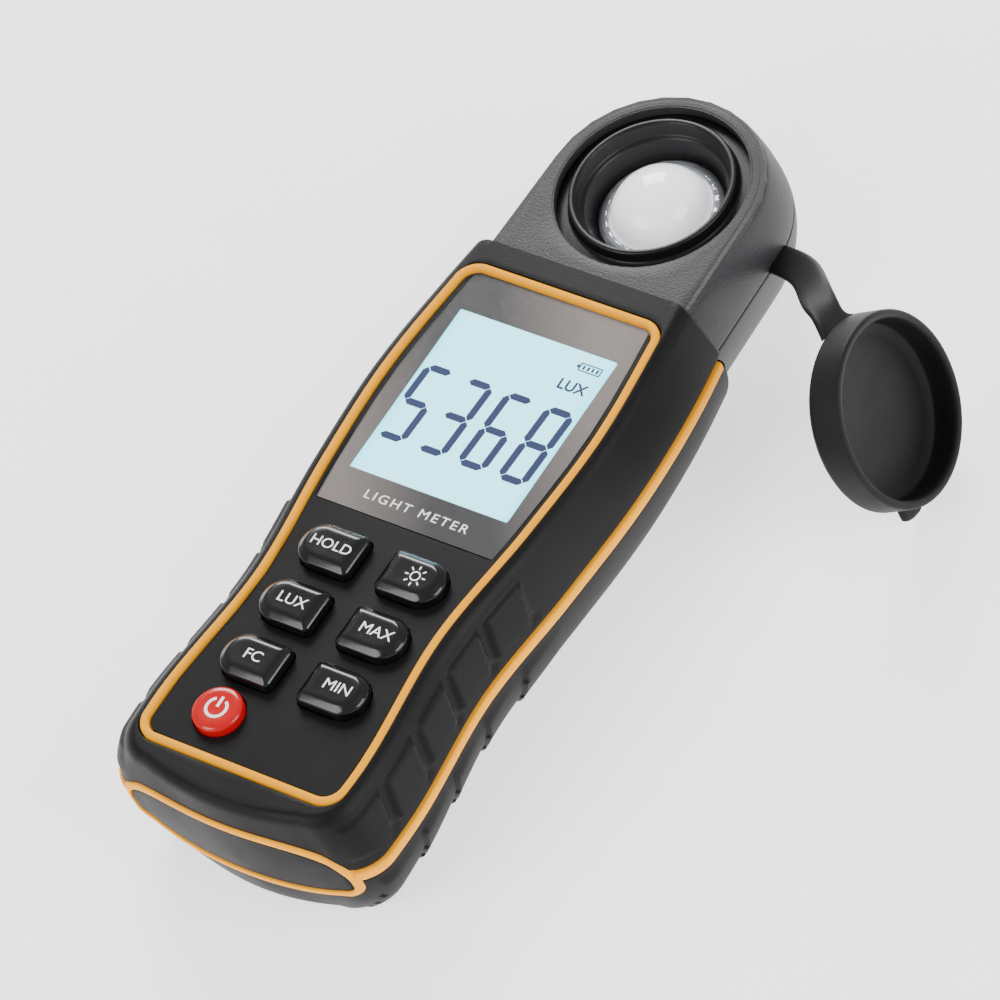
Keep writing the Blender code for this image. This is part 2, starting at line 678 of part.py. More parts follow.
def build_board(green, chip, steel, copper):
    """Main board, the key domes, the controller, and the four board screws."""
    middle = (BOARD_LOW + BOARD_HIGH) / 2
    outline = rounded(0.0, middle, BOARD_HALF, (BOARD_HIGH - BOARD_LOW) / 2, [1.5] * 4, 3)
    holes = [circle(x, y, BOARD_SCREW + GAP, 16) for x, y in board_screw_places()]
    plate("main_board", [outline, *holes], BOARD_TOP - BOARD_THICK, BOARD_TOP, green)
    under = BOARD_TOP - BOARD_THICK - GAP
    chip_low = DISPLAY_LOW + 10
    block("controller_chip", (-CHIP_HALF, chip_low, under - 1.6),
          (CHIP_HALF, chip_low + 2 * CHIP_HALF, under), chip, 0.2)
    seat = -BOARD_THICK - GAP
    for i, (x, y) in enumerate(board_screw_places()):
        profile = ((0, 2.6), (BOARD_SCREW - 0.1, 2.6), (BOARD_SCREW, seat), (1.7, seat), (1.7, seat - 1.0),
                   (0, seat - 1.0))
        turned(f"board_screw_{i + 1}", profile, (x, y, BOARD_TOP), steel, 16)
    sheet_low = BOARD_TOP + GAP
    low = POWER_ROW - 4.5
    high = KEY_ROWS[0] + 6.0
    outline = rounded(0.0, (low + high) / 2, KEY_COLUMN + 7.0, (high - low) / 2, [1.0] * 4, 2)
    holes = [circle(x, y, 2.2, 16) for x, y in board_screw_places() if y < LENS_LOW]
    sheet = plate("key_dome_sheet", [outline, *holes], sheet_low, sheet_low + 0.3, copper)
    for name, x, y, _ in all_keys():
        dome = round_bar(name + "_dome", (x, y, sheet_low + 0.1), (x, y, BOARD_TOP + KEY_DOME_RISE),
                         3.0, sides=16, tip=1.8)
        boolean(sheet, dome, "UNION")


def build_sensor(plastic, white, clear, glass, chip, green, steel, flat):
    """Collar, diffuser dome and its ring, filter, photodiode, sensor board and ribbon."""
    centre = (0, SENSOR_Y, 0)
    lip = HEAD_TOP
    shelf = DOME_BASE - 1.1
    collar_base = HEAD_TOP - CASE_WALL - 2.6
    collar = ((COLLAR_RADIUS - COLLAR_WALL, lip), (COLLAR_RADIUS, lip), (COLLAR_RADIUS, collar_base + 2.3),
              (COLLAR_FLANGE, collar_base + 2.3), (COLLAR_FLANGE, collar_base),
              (COLLAR_RADIUS - 1, collar_base), (FUNNEL_RADIUS + 0.8, shelf - 1.6),
              (DOME_RADIUS - 2.2, shelf - 1.6), (DOME_RADIUS - 2.2, shelf - 0.3),
              (FUNNEL_RADIUS, shelf - 0.3), (FUNNEL_RADIUS, DOME_BASE + 1.0),
              (COLLAR_RADIUS - COLLAR_WALL - 0.8, DOME_BASE + 3.4))
    turned("sensor_collar", collar, centre, plastic, 40)
    angle = np.radians(np.linspace(0, 90, 7))
    outside = [(DOME_RADIUS * math.sin(a), DOME_BASE + DOME_HEIGHT * math.cos(a)) for a in angle]
    wall = 1.1
    inside = [((DOME_RADIUS - wall) * math.sin(a), DOME_BASE + (DOME_HEIGHT - wall) * math.cos(a))
              for a in angle[::-1]]
    skirt = [(DOME_RADIUS + 1.4, DOME_BASE), (DOME_RADIUS + 1.4, DOME_BASE - 0.9),
             (DOME_RADIUS - wall, DOME_BASE - 0.9)]
    turned("diffuser_dome", [*outside, *skirt, *inside], centre, white, 32)
    ring = ((DOME_RADIUS + GAP, DOME_BASE + 1.4), (DOME_RADIUS + 1.4, DOME_BASE + 1.4),
            (FUNNEL_RADIUS - GAP, DOME_BASE + 0.9), (FUNNEL_RADIUS - GAP, DOME_BASE + GAP),
            (DOME_RADIUS + GAP, DOME_BASE + GAP))
    turned("dome_ring", ring, centre, clear, 32)
    top = shelf - 0.3
    bottom = top - 1.6
    round_bar("optical_filter", (0, SENSOR_Y, bottom), (0, SENSOR_Y, top - GAP), DOME_RADIUS - 3.0, glass)
    diode = bottom - GAP
    block("photodiode", (-3.5, SENSOR_Y - 3, diode - 1.8), (3.5, SENSOR_Y + 3, diode), chip, 0.2)
    board = diode - 1.8 - GAP
    sensor_holes = [circle(side * SENSOR_SCREW_X, SENSOR_Y, BOARD_SCREW + GAP, 16) for side in (-1, 1)]
    plate("sensor_board", [circle(0, SENSOR_Y, 13.5, 40), *sensor_holes], board - 1.6, board, green)
    low = board - 1.6 - GAP
    profile = ((0, 3.0), (BOARD_SCREW - 0.1, 3.0), (BOARD_SCREW, 0), (1.7, 0), (1.7, -1.0), (0, -1.0))
    for i, side in enumerate((-1, 1)):
        turned(f"sensor_screw_{i + 1}", profile, (side * SENSOR_SCREW_X, SENSOR_Y, low), steel, 16)
    path = ((0, SENSOR_Y - 6, low - 0.3), (0, BOOT_Y + 2, low - 0.3), (0, BOOT_Y - 3, BOARD_TOP - 3.4),
            (0, BOARD_HIGH - 6, BOARD_TOP - 2.2))
    ribbon("sensor_ribbon", path, [(1, 0, 0)] * 4, 8.0, 0.4, flat)


def build_batteries(cell_finish, steel, plastic):
    """Three cells with their springs and contact plates, and the door that closes the bay."""
    plus = BAY_HIGH - 1.3
    half = CELL_LENGTH / 2
    middle = plus - GAP - half
    profile = ((0, half), (1.9, half), (1.9, half - 1.2), (CELL_RADIUS - 0.5, half - 1.2),
               (CELL_RADIUS, half - 1.8), (CELL_RADIUS, 0.4 - half), (CELL_RADIUS - 0.4, -half), (0, -half))
    for i in (-1, 0, 1):
        cell = turned(f"battery_{i + 2}", profile, (i * CELL_PITCH, middle, CELL_Z), cell_finish, 20)
        cell.rotation_euler = (-math.pi / 2, 0, 0)
        coil_low = BAY_LOW + 1.3 + GAP
        coil_high = middle - half - GAP
        spring(f"battery_spring_{i + 2}", i * CELL_PITCH, coil_low, coil_high, steel)
    wide = CELL_PITCH + CELL_RADIUS
    for name, y in (("contact_plate_spring", BAY_LOW + 0.7), ("contact_plate_button", BAY_HIGH - 1.0)):
        block(name, (-wide, y, CELL_Z - 4.4), (wide, y + CONTACT_THICK, CELL_Z + 4.2), steel)
    door = door_plate("battery_door", 0.0, DOOR_SINK, GRIP_WALL, plastic)
    hang(door, (0, DOOR_HIGH, DOOR_SINK))
    cut(door, round_bar("door_screw_seat", (0, DOOR_SCREW_Y, -1), (0, DOOR_SCREW_Y, 1.3), SCREW_HEAD + GAP),
        round_bar("door_screw_hole", (0, DOOR_SCREW_Y, -1), (0, DOOR_SCREW_Y, 3), SCREW_RADIUS + GAP))
    for i in range(DOOR_GROOVES):
        y = DOOR_LOW + 9.0 + i * DOOR_GROOVE_PITCH
        cut(door, block(f"door_groove_{i}", (-6, y, DOOR_SINK - 1), (6, y + 0.8, DOOR_SINK + 0.4)))
    turned("door_screw", ((0, 4.4), (SCREW_RADIUS, 4.4), (SCREW_RADIUS, 1.1), (SCREW_HEAD, 1.1),
                          (SCREW_HEAD, 0.5), (0, 0.5)), (0, DOOR_SCREW_Y, 0), steel, 20)


def spring(name, x, low, high, steel):
    """A conical battery spring along Y."""
    turns = 3
    count = turns * 8 + 1
    share = np.linspace(0, 1, count)
    radius = 3.4 - 1.2 * share
    angle = share * turns * 2 * math.pi
    wire = 0.3
    y = low + wire + (high - low - 2 * wire) * share
    curve = bpy.data.curves.new(name, "CURVE")
    curve.dimensions = "3D"
    curve.bevel_depth = wire * MM
    curve.bevel_resolution = 0
    curve.use_fill_caps = True
    spline = curve.splines.new("POLY")
    spline.points.add(count - 1)
    for point, r, a, place_y in zip(spline.points, radius, angle, y):
        point.co = ((x + r * math.cos(a)) * MM, place_y * MM, (CELL_Z + r * math.sin(a)) * MM, 1.0)
    item = bpy.data.objects.new(name, curve)
    PARTS.objects.link(item)
    curve.materials.append(steel)
    weld = item.modifiers.new("weld", "WELD")
    weld.merge_threshold = 0.00001


def build_case_screws(steel):
    """Four screws that hold the case halves together from the back."""
    profile = ((0, SCREW_TIP_Z), (SCREW_RADIUS - 0.2, SCREW_TIP_Z), (SCREW_RADIUS, GRIP_WALL),
               (SCREW_HEAD, GRIP_WALL), (SCREW_HEAD, 0.7), (0, 0.7))
    for i, (x, y) in enumerate(CASE_SCREWS):
        turned(f"case_screw_{i + 1}", profile, (x, y, 0), steel, 20)


def ribbon(name, path, wides, wide, thick, material):
    """A flat band along a path, with a width direction given at each point."""
    points = np.array(path, dtype=float)
    across = np.array(wides, dtype=float)
    tangent = np.gradient(points, axis=0)
    tangent /= np.linalg.norm(tangent, axis=1)[:, None]
    across -= tangent * np.sum(across * tangent, axis=1)[:, None]
    across /= np.linalg.norm(across, axis=1)[:, None]
    up = np.cross(across, tangent)
    corners = ((-1, -0.6), (-0.86, -1), (0.86, -1), (1, -0.6), (1, 0.6), (0.86, 1), (-0.86, 1), (-1, 0.6))
    rings = [[point + a * side * wide / 2 + u * rise * thick / 2 for side, rise in corners]
             for point, a, u in zip(points, across, up)]
    return loft(name, rings, material)


def cap_frame():
    """Directions of the cap: opening normal, towards the strap, and across."""
    normal = Vector((math.cos(CAP_HEADING) * math.cos(CAP_LEAN),
                     math.sin(CAP_HEADING) * math.cos(CAP_LEAN), math.sin(CAP_LEAN)))
    uphill = (Vector((0, 0, 1)) - normal * normal.z).normalized()
    strap = Matrix.Rotation(STRAP_TURN, 3, normal) @ uphill
    return normal, strap, normal.cross(strap)


def strap_path(shares):
    """Points along the strap, from its seat in the case seam to the cap, and width directions."""
    normal, strap, across = cap_frame()
    start = Vector((HEAD_WIDE - 1.2, STRAP_Y, SEAM_Z))
    end = CAP_CENTRE + strap * (CAP_RADIUS - 1.0) - normal * (CAP_DEPTH + CAP_FLOOR / 2)
    lift = Vector((0, 0, 1))
    controls = (start, start + Vector((12, 0, 0.6)), end + strap * 9.0 - normal * 5.0 + lift, end)
    points = []
    wides = []
    for t in map(float, shares):
        weights = ((1 - t)**3, 3 * t * (1 - t)**2, 3 * t * t * (1 - t), t**3)
        points.append(sum((weight * point for weight, point in zip(weights, controls)), Vector()))
        wides.append(Vector((0, 1, 0)).lerp(-across, t))
    return points, wides


def strap_piece(name, first, last, steps, material=None, wide=STRAP_WIDE, thick=STRAP_THICK):
    """A stretch of the strap between two shares of its path."""
    shares = np.linspace(first, last, steps)
    points, wides = strap_path(shares)
    return ribbon(name, points, wides, wide, thick, material)


def hinge_point(share):
    """Point on the strap's upper face where it folds, a hair above the rubber."""
    points, wides = strap_path((share - HINGE_SLACK, share, share + HINGE_SLACK))
    up = (points[2] - points[0]).cross(wides[1]).normalized()
    return points[1] + up * (STRAP_THICK / 2 + 0.25)


def strap_slot(name):
    """Slot in the case seam that holds the strap's root."""
    low = (HEAD_WIDE - 3.4, STRAP_Y - STRAP_WIDE / 2 - GAP, SEAM_Z - STRAP_THICK / 2 - GAP)
    high = (HEAD_WIDE + 6, STRAP_Y + STRAP_WIDE / 2 + GAP, SEAM_Z + STRAP_THICK / 2 + GAP)
    return block(name, low, high)


def build_cap(rubber):
    """Rubber cap with its strap: a root in the seam, a free stretch, and the cap with its tab."""
    fold_root, fold_cap = HINGE_SHARES
    strap_piece("strap_root", 0.0, fold_root - HINGE_SLACK, 4, rubber)
    link = strap_piece("strap_link", fold_root + HINGE_SLACK, fold_cap - HINGE_SLACK, 10, rubber)
    hang(link, hinge_point(fold_root))
    normal, strap, across = cap_frame()
    floor = -CAP_DEPTH
    back = floor - CAP_FLOOR
    cup = ((CAP_BORE, 0.0), (CAP_RADIUS - 0.3, 0.0), (CAP_RADIUS, -0.4), (CAP_RADIUS, back + 0.8),
           (CAP_RADIUS - 0.8, back), (0, back))
    inner = ((0, floor), (CAP_BORE - 0.8, floor), (CAP_BORE, floor + 0.8))
    cap = turned("sensor_cap", [*inner, *cup], (0, 0, 0), rubber, 40)
    frame = Matrix((strap, across, normal)).transposed().to_4x4()
    cap.matrix_basis = Matrix.Translation(CAP_CENTRE * MM) @ frame
    pivot = bpy.data.objects.new("cap_pivot", None)
    PARTS.objects.link(pivot)
    pivot.location = hinge_point(fold_cap) * MM
    cap.parent = pivot
    cap.matrix_parent_inverse = Matrix.Translation(-pivot.location)
    boolean(cap, strap_piece("cap_neck", fold_cap + HINGE_SLACK, 1.0, 6), "UNION")
    middle = (floor + back) / 2
    tab_path = [CAP_CENTRE - strap * (CAP_RADIUS - 1.0 + reach) + normal * middle
                for reach in (0.0, 1.0, 1.0 + TAB_LENGTH)]
    boolean(cap, ribbon("cap_tab", tab_path, [across] * 3, STRAP_WIDE, CAP_FLOOR, None), "UNION")


def build():
    """Build every piece of the meter."""
    rubber = finish_material("rubber", RUBBER, 0.62)
    shell = finish_material("grained_plastic", (0.055, 0.055, 0.058), 0.5)
    orange = finish_material("orange_plastic", ORANGE, 0.4)
    panel = finish_material("panel_plastic", (0.012, 0.012, 0.013), 0.45)
    gloss = finish_material("gloss_plastic", (0.01, 0.01, 0.011), 0.12)
    red = finish_material("red_plastic", (0.55, 0.01, 0.02), 0.2)
    mirror = finish_material("mirror_label", (0.25, 0.22, 0.21), 0.2, 0.8)
    clear = finish_material("clear_plastic", (0.9, 0.9, 0.9), 0.05, 0.0, 0.9)
    glass = finish_material("display_glass", (0.55, 0.8, 0.88), 0.15)
    white = finish_material("white_diffuser", (0.85, 0.87, 0.9), 0.2)
    green = finish_material("board_green", (0.02, 0.16, 0.06), 0.4)
    chip = finish_material("chip_black", (0.02, 0.02, 0.02), 0.5)
    steel = finish_material("steel", (0.6, 0.6, 0.58), 0.3, 1.0)
    copper = finish_material("dome_steel", (0.7, 0.68, 0.6), 0.35, 1.0)
    flat = finish_material("ribbon_film", (0.75, 0.4, 0.1), 0.5)
    cell = finish_material("cell_jacket", (0.08, 0.1, 0.3), 0.3, 0.5)
    build_shells(rubber, shell, orange, panel)
    frame_and_panel(orange, panel, mirror, clear)
    build_keys(gloss, red)
    build_display(glass, white, rubber, panel)
    build_board(green, chip, steel, copper)
    build_sensor(panel, white, clear, glass, chip, green, steel, flat)
    build_batteries(cell, steel, panel)
    build_case_screws(steel)
    build_cap(rubber)


build()
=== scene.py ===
"""Looks of a handheld light meter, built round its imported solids.

Sizes are in millimetres and become metres when a mesh is made. +Z points out of the display,
+Y towards the sensor head and +X towards the side that carries the cap.
"""
from __future__ import annotations

import json
import logging
import math
from dataclasses import dataclass
from enum import Enum

import bmesh
import bpy
import numpy as np
from mathutils import Matrix, Vector

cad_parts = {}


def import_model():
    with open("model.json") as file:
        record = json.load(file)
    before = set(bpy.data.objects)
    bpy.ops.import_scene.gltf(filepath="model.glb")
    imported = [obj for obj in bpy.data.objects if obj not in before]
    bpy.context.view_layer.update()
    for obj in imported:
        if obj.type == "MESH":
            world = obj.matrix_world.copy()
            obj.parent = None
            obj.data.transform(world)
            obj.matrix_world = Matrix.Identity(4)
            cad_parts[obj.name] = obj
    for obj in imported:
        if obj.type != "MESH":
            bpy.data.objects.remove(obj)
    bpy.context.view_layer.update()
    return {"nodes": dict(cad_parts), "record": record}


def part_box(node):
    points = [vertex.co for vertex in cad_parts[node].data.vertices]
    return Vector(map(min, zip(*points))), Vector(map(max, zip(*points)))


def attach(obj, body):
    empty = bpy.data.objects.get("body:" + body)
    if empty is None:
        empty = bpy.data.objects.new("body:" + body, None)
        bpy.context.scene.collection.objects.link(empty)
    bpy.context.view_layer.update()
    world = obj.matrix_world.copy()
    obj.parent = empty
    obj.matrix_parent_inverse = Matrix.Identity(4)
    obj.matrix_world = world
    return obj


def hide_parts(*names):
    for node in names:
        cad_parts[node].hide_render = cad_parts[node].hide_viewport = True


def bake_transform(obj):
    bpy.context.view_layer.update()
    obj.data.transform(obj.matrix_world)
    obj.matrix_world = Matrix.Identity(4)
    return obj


MM = 0.001
METER = "meter"
LOG = logging.getLogger("light_meter")
COAT_ROUGHNESS = 0.06
PRINT_THICK = 0.05
Places = tuple[tuple[float, float], ...]

# Where the label's painted reflection bands, the cell jacket's print and the lit face's painted side shade
# change tone, in metres.
# Painted reflection on the label: two bright slanting bands, placed by these lean and ranges.
REFLECTION_LEAN = 1.6
REFLECTION_UPPER = (0.010, 0.046)
REFLECTION_LOWER = (-0.012, -0.046)
JACKET_EDGE = (-0.0345, -0.0340)
# Painted shade: the lit face darkens over this range towards its left and right edges.
SIDE_SHADE_EDGE = (0.0155, 0.0182)
# Smears, slow changes of tone and tracks, in cells or bands per metre.
SMEAR_SCALE = 45.0
TONE_SCALE = 55.0
TRACK_SCALE = 260.0


# ---------------------------------------------------------------- mesh making

def finish_mesh(mesh: bpy.types.Mesh, sharp: float = 38.0) -> None:
    """Merge doubles, point the faces outwards and shade smooth but for real edges.

    Args:
        mesh: The mesh, in metres.
        sharp: Angle in degrees above which an edge stays sharp.
    """
    bm = bmesh.new()
    bm.from_mesh(mesh)
    bmesh.ops.remove_doubles(bm, verts=bm.verts, dist=2e-7)
    bmesh.ops.dissolve_degenerate(bm, edges=bm.edges, dist=1e-7)
    bmesh.ops.recalc_face_normals(bm, faces=bm.faces)
    bm.to_mesh(mesh)
    bm.free()
    mesh.shade_smooth()
    mesh.set_sharp_from_angle(angle=math.radians(sharp))


def add_piece(name: str, mesh: bpy.types.Mesh, finish: bpy.types.Material) -> bpy.types.Object:
    """Link a mesh as a piece with its finish, and log it.

    Args:
        name: Name of the piece.
        mesh: Its mesh, in place.
        finish: Its material.

    Returns:
        The new object, at the origin.
    """
    mesh.materials.append(finish)
    piece = bpy.data.objects.new(name, mesh)
    bpy.context.scene.collection.objects.link(piece)
    LOG.info("%s: %d faces", name, len(mesh.polygons))
    return piece


def surface(name: str, grid: np.ndarray, finish: bpy.types.Material, wrap: bool = True,
            loop: bool = False, caps: bool = True, sharp: float = 38.0) -> bpy.types.Object:
    """Make a closed piece from a grid of points.

    Point (i, j) meets (i, j + 1) and (i + 1, j). Wrapped columns close on themselves, looped rows
    close on themselves, and a capped grid has one flat face on its first row and one on its last.

    Args:
        name: Name of the piece.
        grid: Array of rows, columns and 3 coordinates in millimetres.
        finish: Its material.
        wrap: Whether the last column meets the first.
        loop: Whether the last row meets the first.
        caps: Whether the first and the last row are closed by a face.
        sharp: Angle in degrees above which an edge stays sharp.

    Returns:
        The new object.
    """
    rows, cols = grid.shape[:2]
    index = np.arange(rows * cols).reshape(rows, cols)
    if loop:
        index = np.concatenate([index, index[:1]])
    right = np.roll(index, -1, axis=1) if wrap else index[:, 1:]
    left = index if wrap else index[:, :-1]
    faces = np.stack([left[:-1], right[:-1], right[1:], left[1:]], axis=-1).reshape(-1, 4).tolist()
    if caps and not loop:
        faces += [index[0, ::-1].tolist(), index[-1].tolist()]
    mesh = bpy.data.meshes.new(name)
    mesh.from_pydata((grid.reshape(-1, 3) * MM).tolist(), [], faces)
    finish_mesh(mesh, sharp)
    return add_piece(name, mesh, finish)


def lifted(outline: np.ndarray, z: float | np.ndarray) -> np.ndarray:
    """Add a height to flat points."""
    return np.concatenate([outline, np.broadcast_to(np.reshape(z, (-1, 1)), (len(outline), 1))], axis=1)


def pairs(x: float | np.ndarray, y: float | np.ndarray) -> np.ndarray:
    """Flat points from their two coordinates, either of which may be a single number."""
    return np.stack(np.broadcast_arrays(x, y), axis=-1)


def turned(first: float, last: float, count: int) -> np.ndarray:
    """Unit directions, the cosine and the sine of angles in degrees from the first to the last."""
    angle = np.radians(np.linspace(first, last, count))
    return pairs(np.cos(angle), np.sin(angle))


def mirrored(right: np.ndarray) -> np.ndarray:
    """Close an outline whose right half runs from the middle below to the middle above."""
    return np.concatenate([right, right[-2:0:-1] * (-1, 1)])


def squarish(count: int, wide: float, tall: float) -> tuple[np.ndarray, np.ndarray]:
    """Go round a superellipse: signed powers of the cosine and of the sine.

    Args:
        count: Steps round it.
        wide: Power of the cosine.
        tall: Power of the sine.

    Returns:
        Shares of the half-width and of the half-height.
    """
    angle = np.linspace(0, 2 * np.pi, count, endpoint=False)
    across, rise = np.cos(angle), np.sin(angle)
    return np.sign(across) * np.abs(across)**wide, np.sign(rise) * np.abs(rise)**tall


def node_box(node: str) -> tuple[np.ndarray, np.ndarray]:
    """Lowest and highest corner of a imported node, in millimetres."""
    return tuple(np.array(corner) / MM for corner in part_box(node))


def revolved(profile: np.ndarray, centre: tuple[float, float], count: int = 96) -> np.ndarray:
    """Turn a profile about an upright axis: point (i, j) is profile point i turned by j steps.

    Args:
        profile: Array of (radius, height).
        centre: Place of the axis.
        count: Steps round the axis.

    Returns:
        A grid of points.
    """
    angle = np.linspace(0, 2 * np.pi, count, endpoint=False)
    radius, height = np.asarray(profile, float).T
    x = centre[0] + radius[:, None] * np.cos(angle)
    y = centre[1] + radius[:, None] * np.sin(angle)
    return np.stack([x, y, np.broadcast_to(height[:, None], x.shape)], axis=-1)


def eased(profile: list[tuple[float, float]], radius: float = 0.25, steps: int = 4) -> np.ndarray:
    """Round the inner corners of a profile with short parabolas.

    Each corner gives way to the curve through the points a small distance before and after it,
    drawn towards the corner by a quadratic Bezier.

    Args:
        profile: Corner points.
        radius: Distance before and after a corner at which its rounding starts and ends.
        steps: Points on each rounding.

    Returns:
        The eased profile.
    """
    points = np.asarray(profile, float)
    before, corner, after = points[:-2], points[1:-1], points[2:]
    back = before - corner
    ahead = after - corner
    back_length = np.linalg.norm(back, axis=1, keepdims=True)
    ahead_length = np.linalg.norm(ahead, axis=1, keepdims=True)
    reach = np.minimum(radius, 0.45 * np.minimum(back_length, ahead_length))
    start = corner + back / back_length * reach
    end = corner + ahead / ahead_length * reach
    t = np.linspace(0, 1, steps)[None, :, None]
    curve = start[:, None] * (1 - t)**2 + 2 * corner[:, None] * t * (1 - t) + end[:, None] * t**2
    return np.concatenate([points[:1], curve.reshape(-1, 2), points[-1:]])


def soft_box(distance: np.ndarray, half: float, soft: float) -> np.ndarray:
    """One inside a half-width, nothing outside it, with a smooth step between."""
    t = np.clip((half - np.abs(distance)) / soft + 0.5, 0, 1)
    return t * t * (3 - 2 * t)


def prisms(name: str, shapes: list[np.ndarray], low: float, high: float,
           finish: bpy.types.Material) -> bpy.types.Object:
    """Make one piece of flat convex tiles, each an outline given a thickness.

    Args:
        name: Name of the piece.
        shapes: Outlines of the tiles.
        low: Height of their undersides.
        high: Height of their tops.
        finish: Its material.

    Returns:
        The new object.
    """
    points, faces, first = [], [], 0
    for shape in shapes:
        count = len(shape)
        points += [lifted(shape, low), lifted(shape, high)]
        ring = np.arange(count)
        ahead = (ring + 1) % count
        faces += (np.stack([ring, ahead, ahead + count, ring + count], axis=1) + first).tolist()
        faces += [(ring[::-1] + first).tolist(), (ring + count + first).tolist()]
        first += 2 * count
    mesh = bpy.data.meshes.new(name)
    mesh.from_pydata((np.concatenate(points) * MM).tolist(), [], faces)
    finish_mesh(mesh)
    return add_piece(name, mesh, finish)


def lettering(name: str, words: str, size: float, centre: tuple[float, float, float],
              finish: bpy.types.Material, bold: float = 0.02, wide: float = 1.0,
              spread: float = 1.0) -> bpy.types.Object:
    """Print plain words as a thin raised piece.

    Args:
        name: Name of the piece.
        words: The words.
        size: Height of the type body.
        centre: Middle of the words.
        finish: Its material.
        bold: How far the strokes are thickened.
        wide: Width of the letters, as a share of the plain type.
        spread: Distance between letters, as a share of the plain type's.

    Returns:
        The new object.
    """
    curve = bpy.data.curves.new(name, "FONT")
    curve.body = words
    curve.size = size * MM
    curve.align_x = "CENTER"
    curve.align_y = "CENTER"
    curve.offset = bold * MM
    curve.space_character = spread
    curve.extrude = PRINT_THICK * MM
    curve.resolution_u = 4
    holder = bpy.data.objects.new(name, curve)
    bpy.context.scene.collection.objects.link(holder)
    evaluated = holder.evaluated_get(bpy.context.evaluated_depsgraph_get())
    mesh = bpy.data.meshes.new_from_object(evaluated)
    bpy.data.objects.remove(holder)
    mesh.materials.clear()
    mesh.transform(Matrix.Translation(Vector(centre) * MM) @ Matrix.Diagonal((wide, 1, 1, 1)))
    return add_piece(name, mesh, finish)


# ---------------------------------------------------------------- finishes

class Nodes:
    """A material's or a group's node tree, with short calls to fill it."""

    def __init__(self, tree: bpy.types.NodeTree) -> None:
        """Keep the tree."""
        self.tree = tree

    def add(self, kind: str, **settings: object) -> bpy.types.Node:
        """Add a node and set its named properties.

        Args:
            kind: Type of the node.
            settings: Its properties by name.

        Returns:
            The new node.
        """
        node = self.tree.nodes.new(kind)
        for key, value in settings.items():
            setattr(node, key, value)
        return node

    def link(self, source: bpy.types.NodeSocket, target: bpy.types.NodeSocket) -> None:
        """Join two sockets."""
        self.tree.links.new(source, target)

    def remap(self, value: bpy.types.NodeSocket, low: float, high: float, start: float = 0.0,
              stop: float = 1.0) -> bpy.types.NodeSocket:
        """Spread a value from start..stop over low..high.

        Args:
            value: The value's socket.
            low: What the start becomes.
            high: What the stop becomes.
            start: Value at the start.
            stop: Value at the stop.

        Returns:
            The new value's socket.
        """
        node = self.add("ShaderNodeMapRange")
        self.link(value, node.inputs["Value"])
        node.inputs["From Min"].default_value = start
        node.inputs["From Max"].default_value = stop
        node.inputs["To Min"].default_value = low
        node.inputs["To Max"].default_value = high
        return node.outputs["Result"]

    def mix(self, share: bpy.types.NodeSocket, first: tuple[float, ...],
            second: tuple[float, ...]) -> bpy.types.NodeSocket:
        """Mix two colours by a share.

        Args:
            share: How much of the second colour shows.
            first: First colour.
            second: Second colour.

        Returns:
            The colour's socket.
        """
        node = self.add("ShaderNodeMix", data_type="RGBA")
        self.link(share, node.inputs[0])
        node.inputs[6].default_value = (*first, 1.0)
        node.inputs[7].default_value = (*second, 1.0)
        return node.outputs[2]

    def math(self, operation: str, *values: bpy.types.NodeSocket | float,
             clamp: bool = False) -> bpy.types.NodeSocket:
        """Work out a number from sockets and plain numbers.

        Args:
            operation: Which sum to do, by the node's own name for it.
            values: Sockets and plain numbers that go in, in the node's order.
            clamp: Whether the result is kept between nothing and one.

        Returns:
            The result's socket.
        """
        node = self.add("ShaderNodeMath", operation=operation, use_clamp=clamp)
        for place, value in enumerate(values):
            if isinstance(value, float):
                node.inputs[place].default_value = value
            else:
                self.link(value, node.inputs[place])
        return node.outputs[0]

    def noise(self, vector: bpy.types.NodeSocket, scale: float, detail: float = 2.0) -> bpy.types.Node:
        """Add noise on a vector.

        Args:
            vector: Coordinates.
            scale: Cells per metre.
            detail: Levels of detail.

        Returns:
            The noise node.
        """
        node = self.add("ShaderNodeTexNoise")
        self.link(vector, node.inputs["Vector"])
        node.inputs["Scale"].default_value = scale
        node.inputs["Detail"].default_value = detail
        return node


def group(name: str, inputs: tuple[str, ...], outputs: tuple[str, ...]
          ) -> tuple[Nodes, dict[str, bpy.types.NodeSocket], dict[str, bpy.types.NodeSocket]]:
    """Start a shader node group.

    Args:
        name: Name of the group.
        inputs: Names of its inputs; the first is a vector and the others are numbers.
        outputs: Names of its number outputs.

    Returns:
        Its nodes, the sockets of its inputs and the sockets of its outputs.
    """
    tree = bpy.data.node_groups.new(name, "ShaderNodeTree")
    for place, label in enumerate(inputs):
        kind = "NodeSocketVector" if place == 0 else "NodeSocketFloat"
        tree.interface.new_socket(name=label, in_out="INPUT", socket_type=kind)
    for label in outputs:
        tree.interface.new_socket(name=label, in_out="OUTPUT", socket_type="NodeSocketFloat")
    nodes = Nodes(tree)
    source = nodes.add("NodeGroupInput")
    target = nodes.add("NodeGroupOutput")
    given = {key: source.outputs[key] for key in inputs}
    return nodes, given, {key: target.inputs[key] for key in outputs}


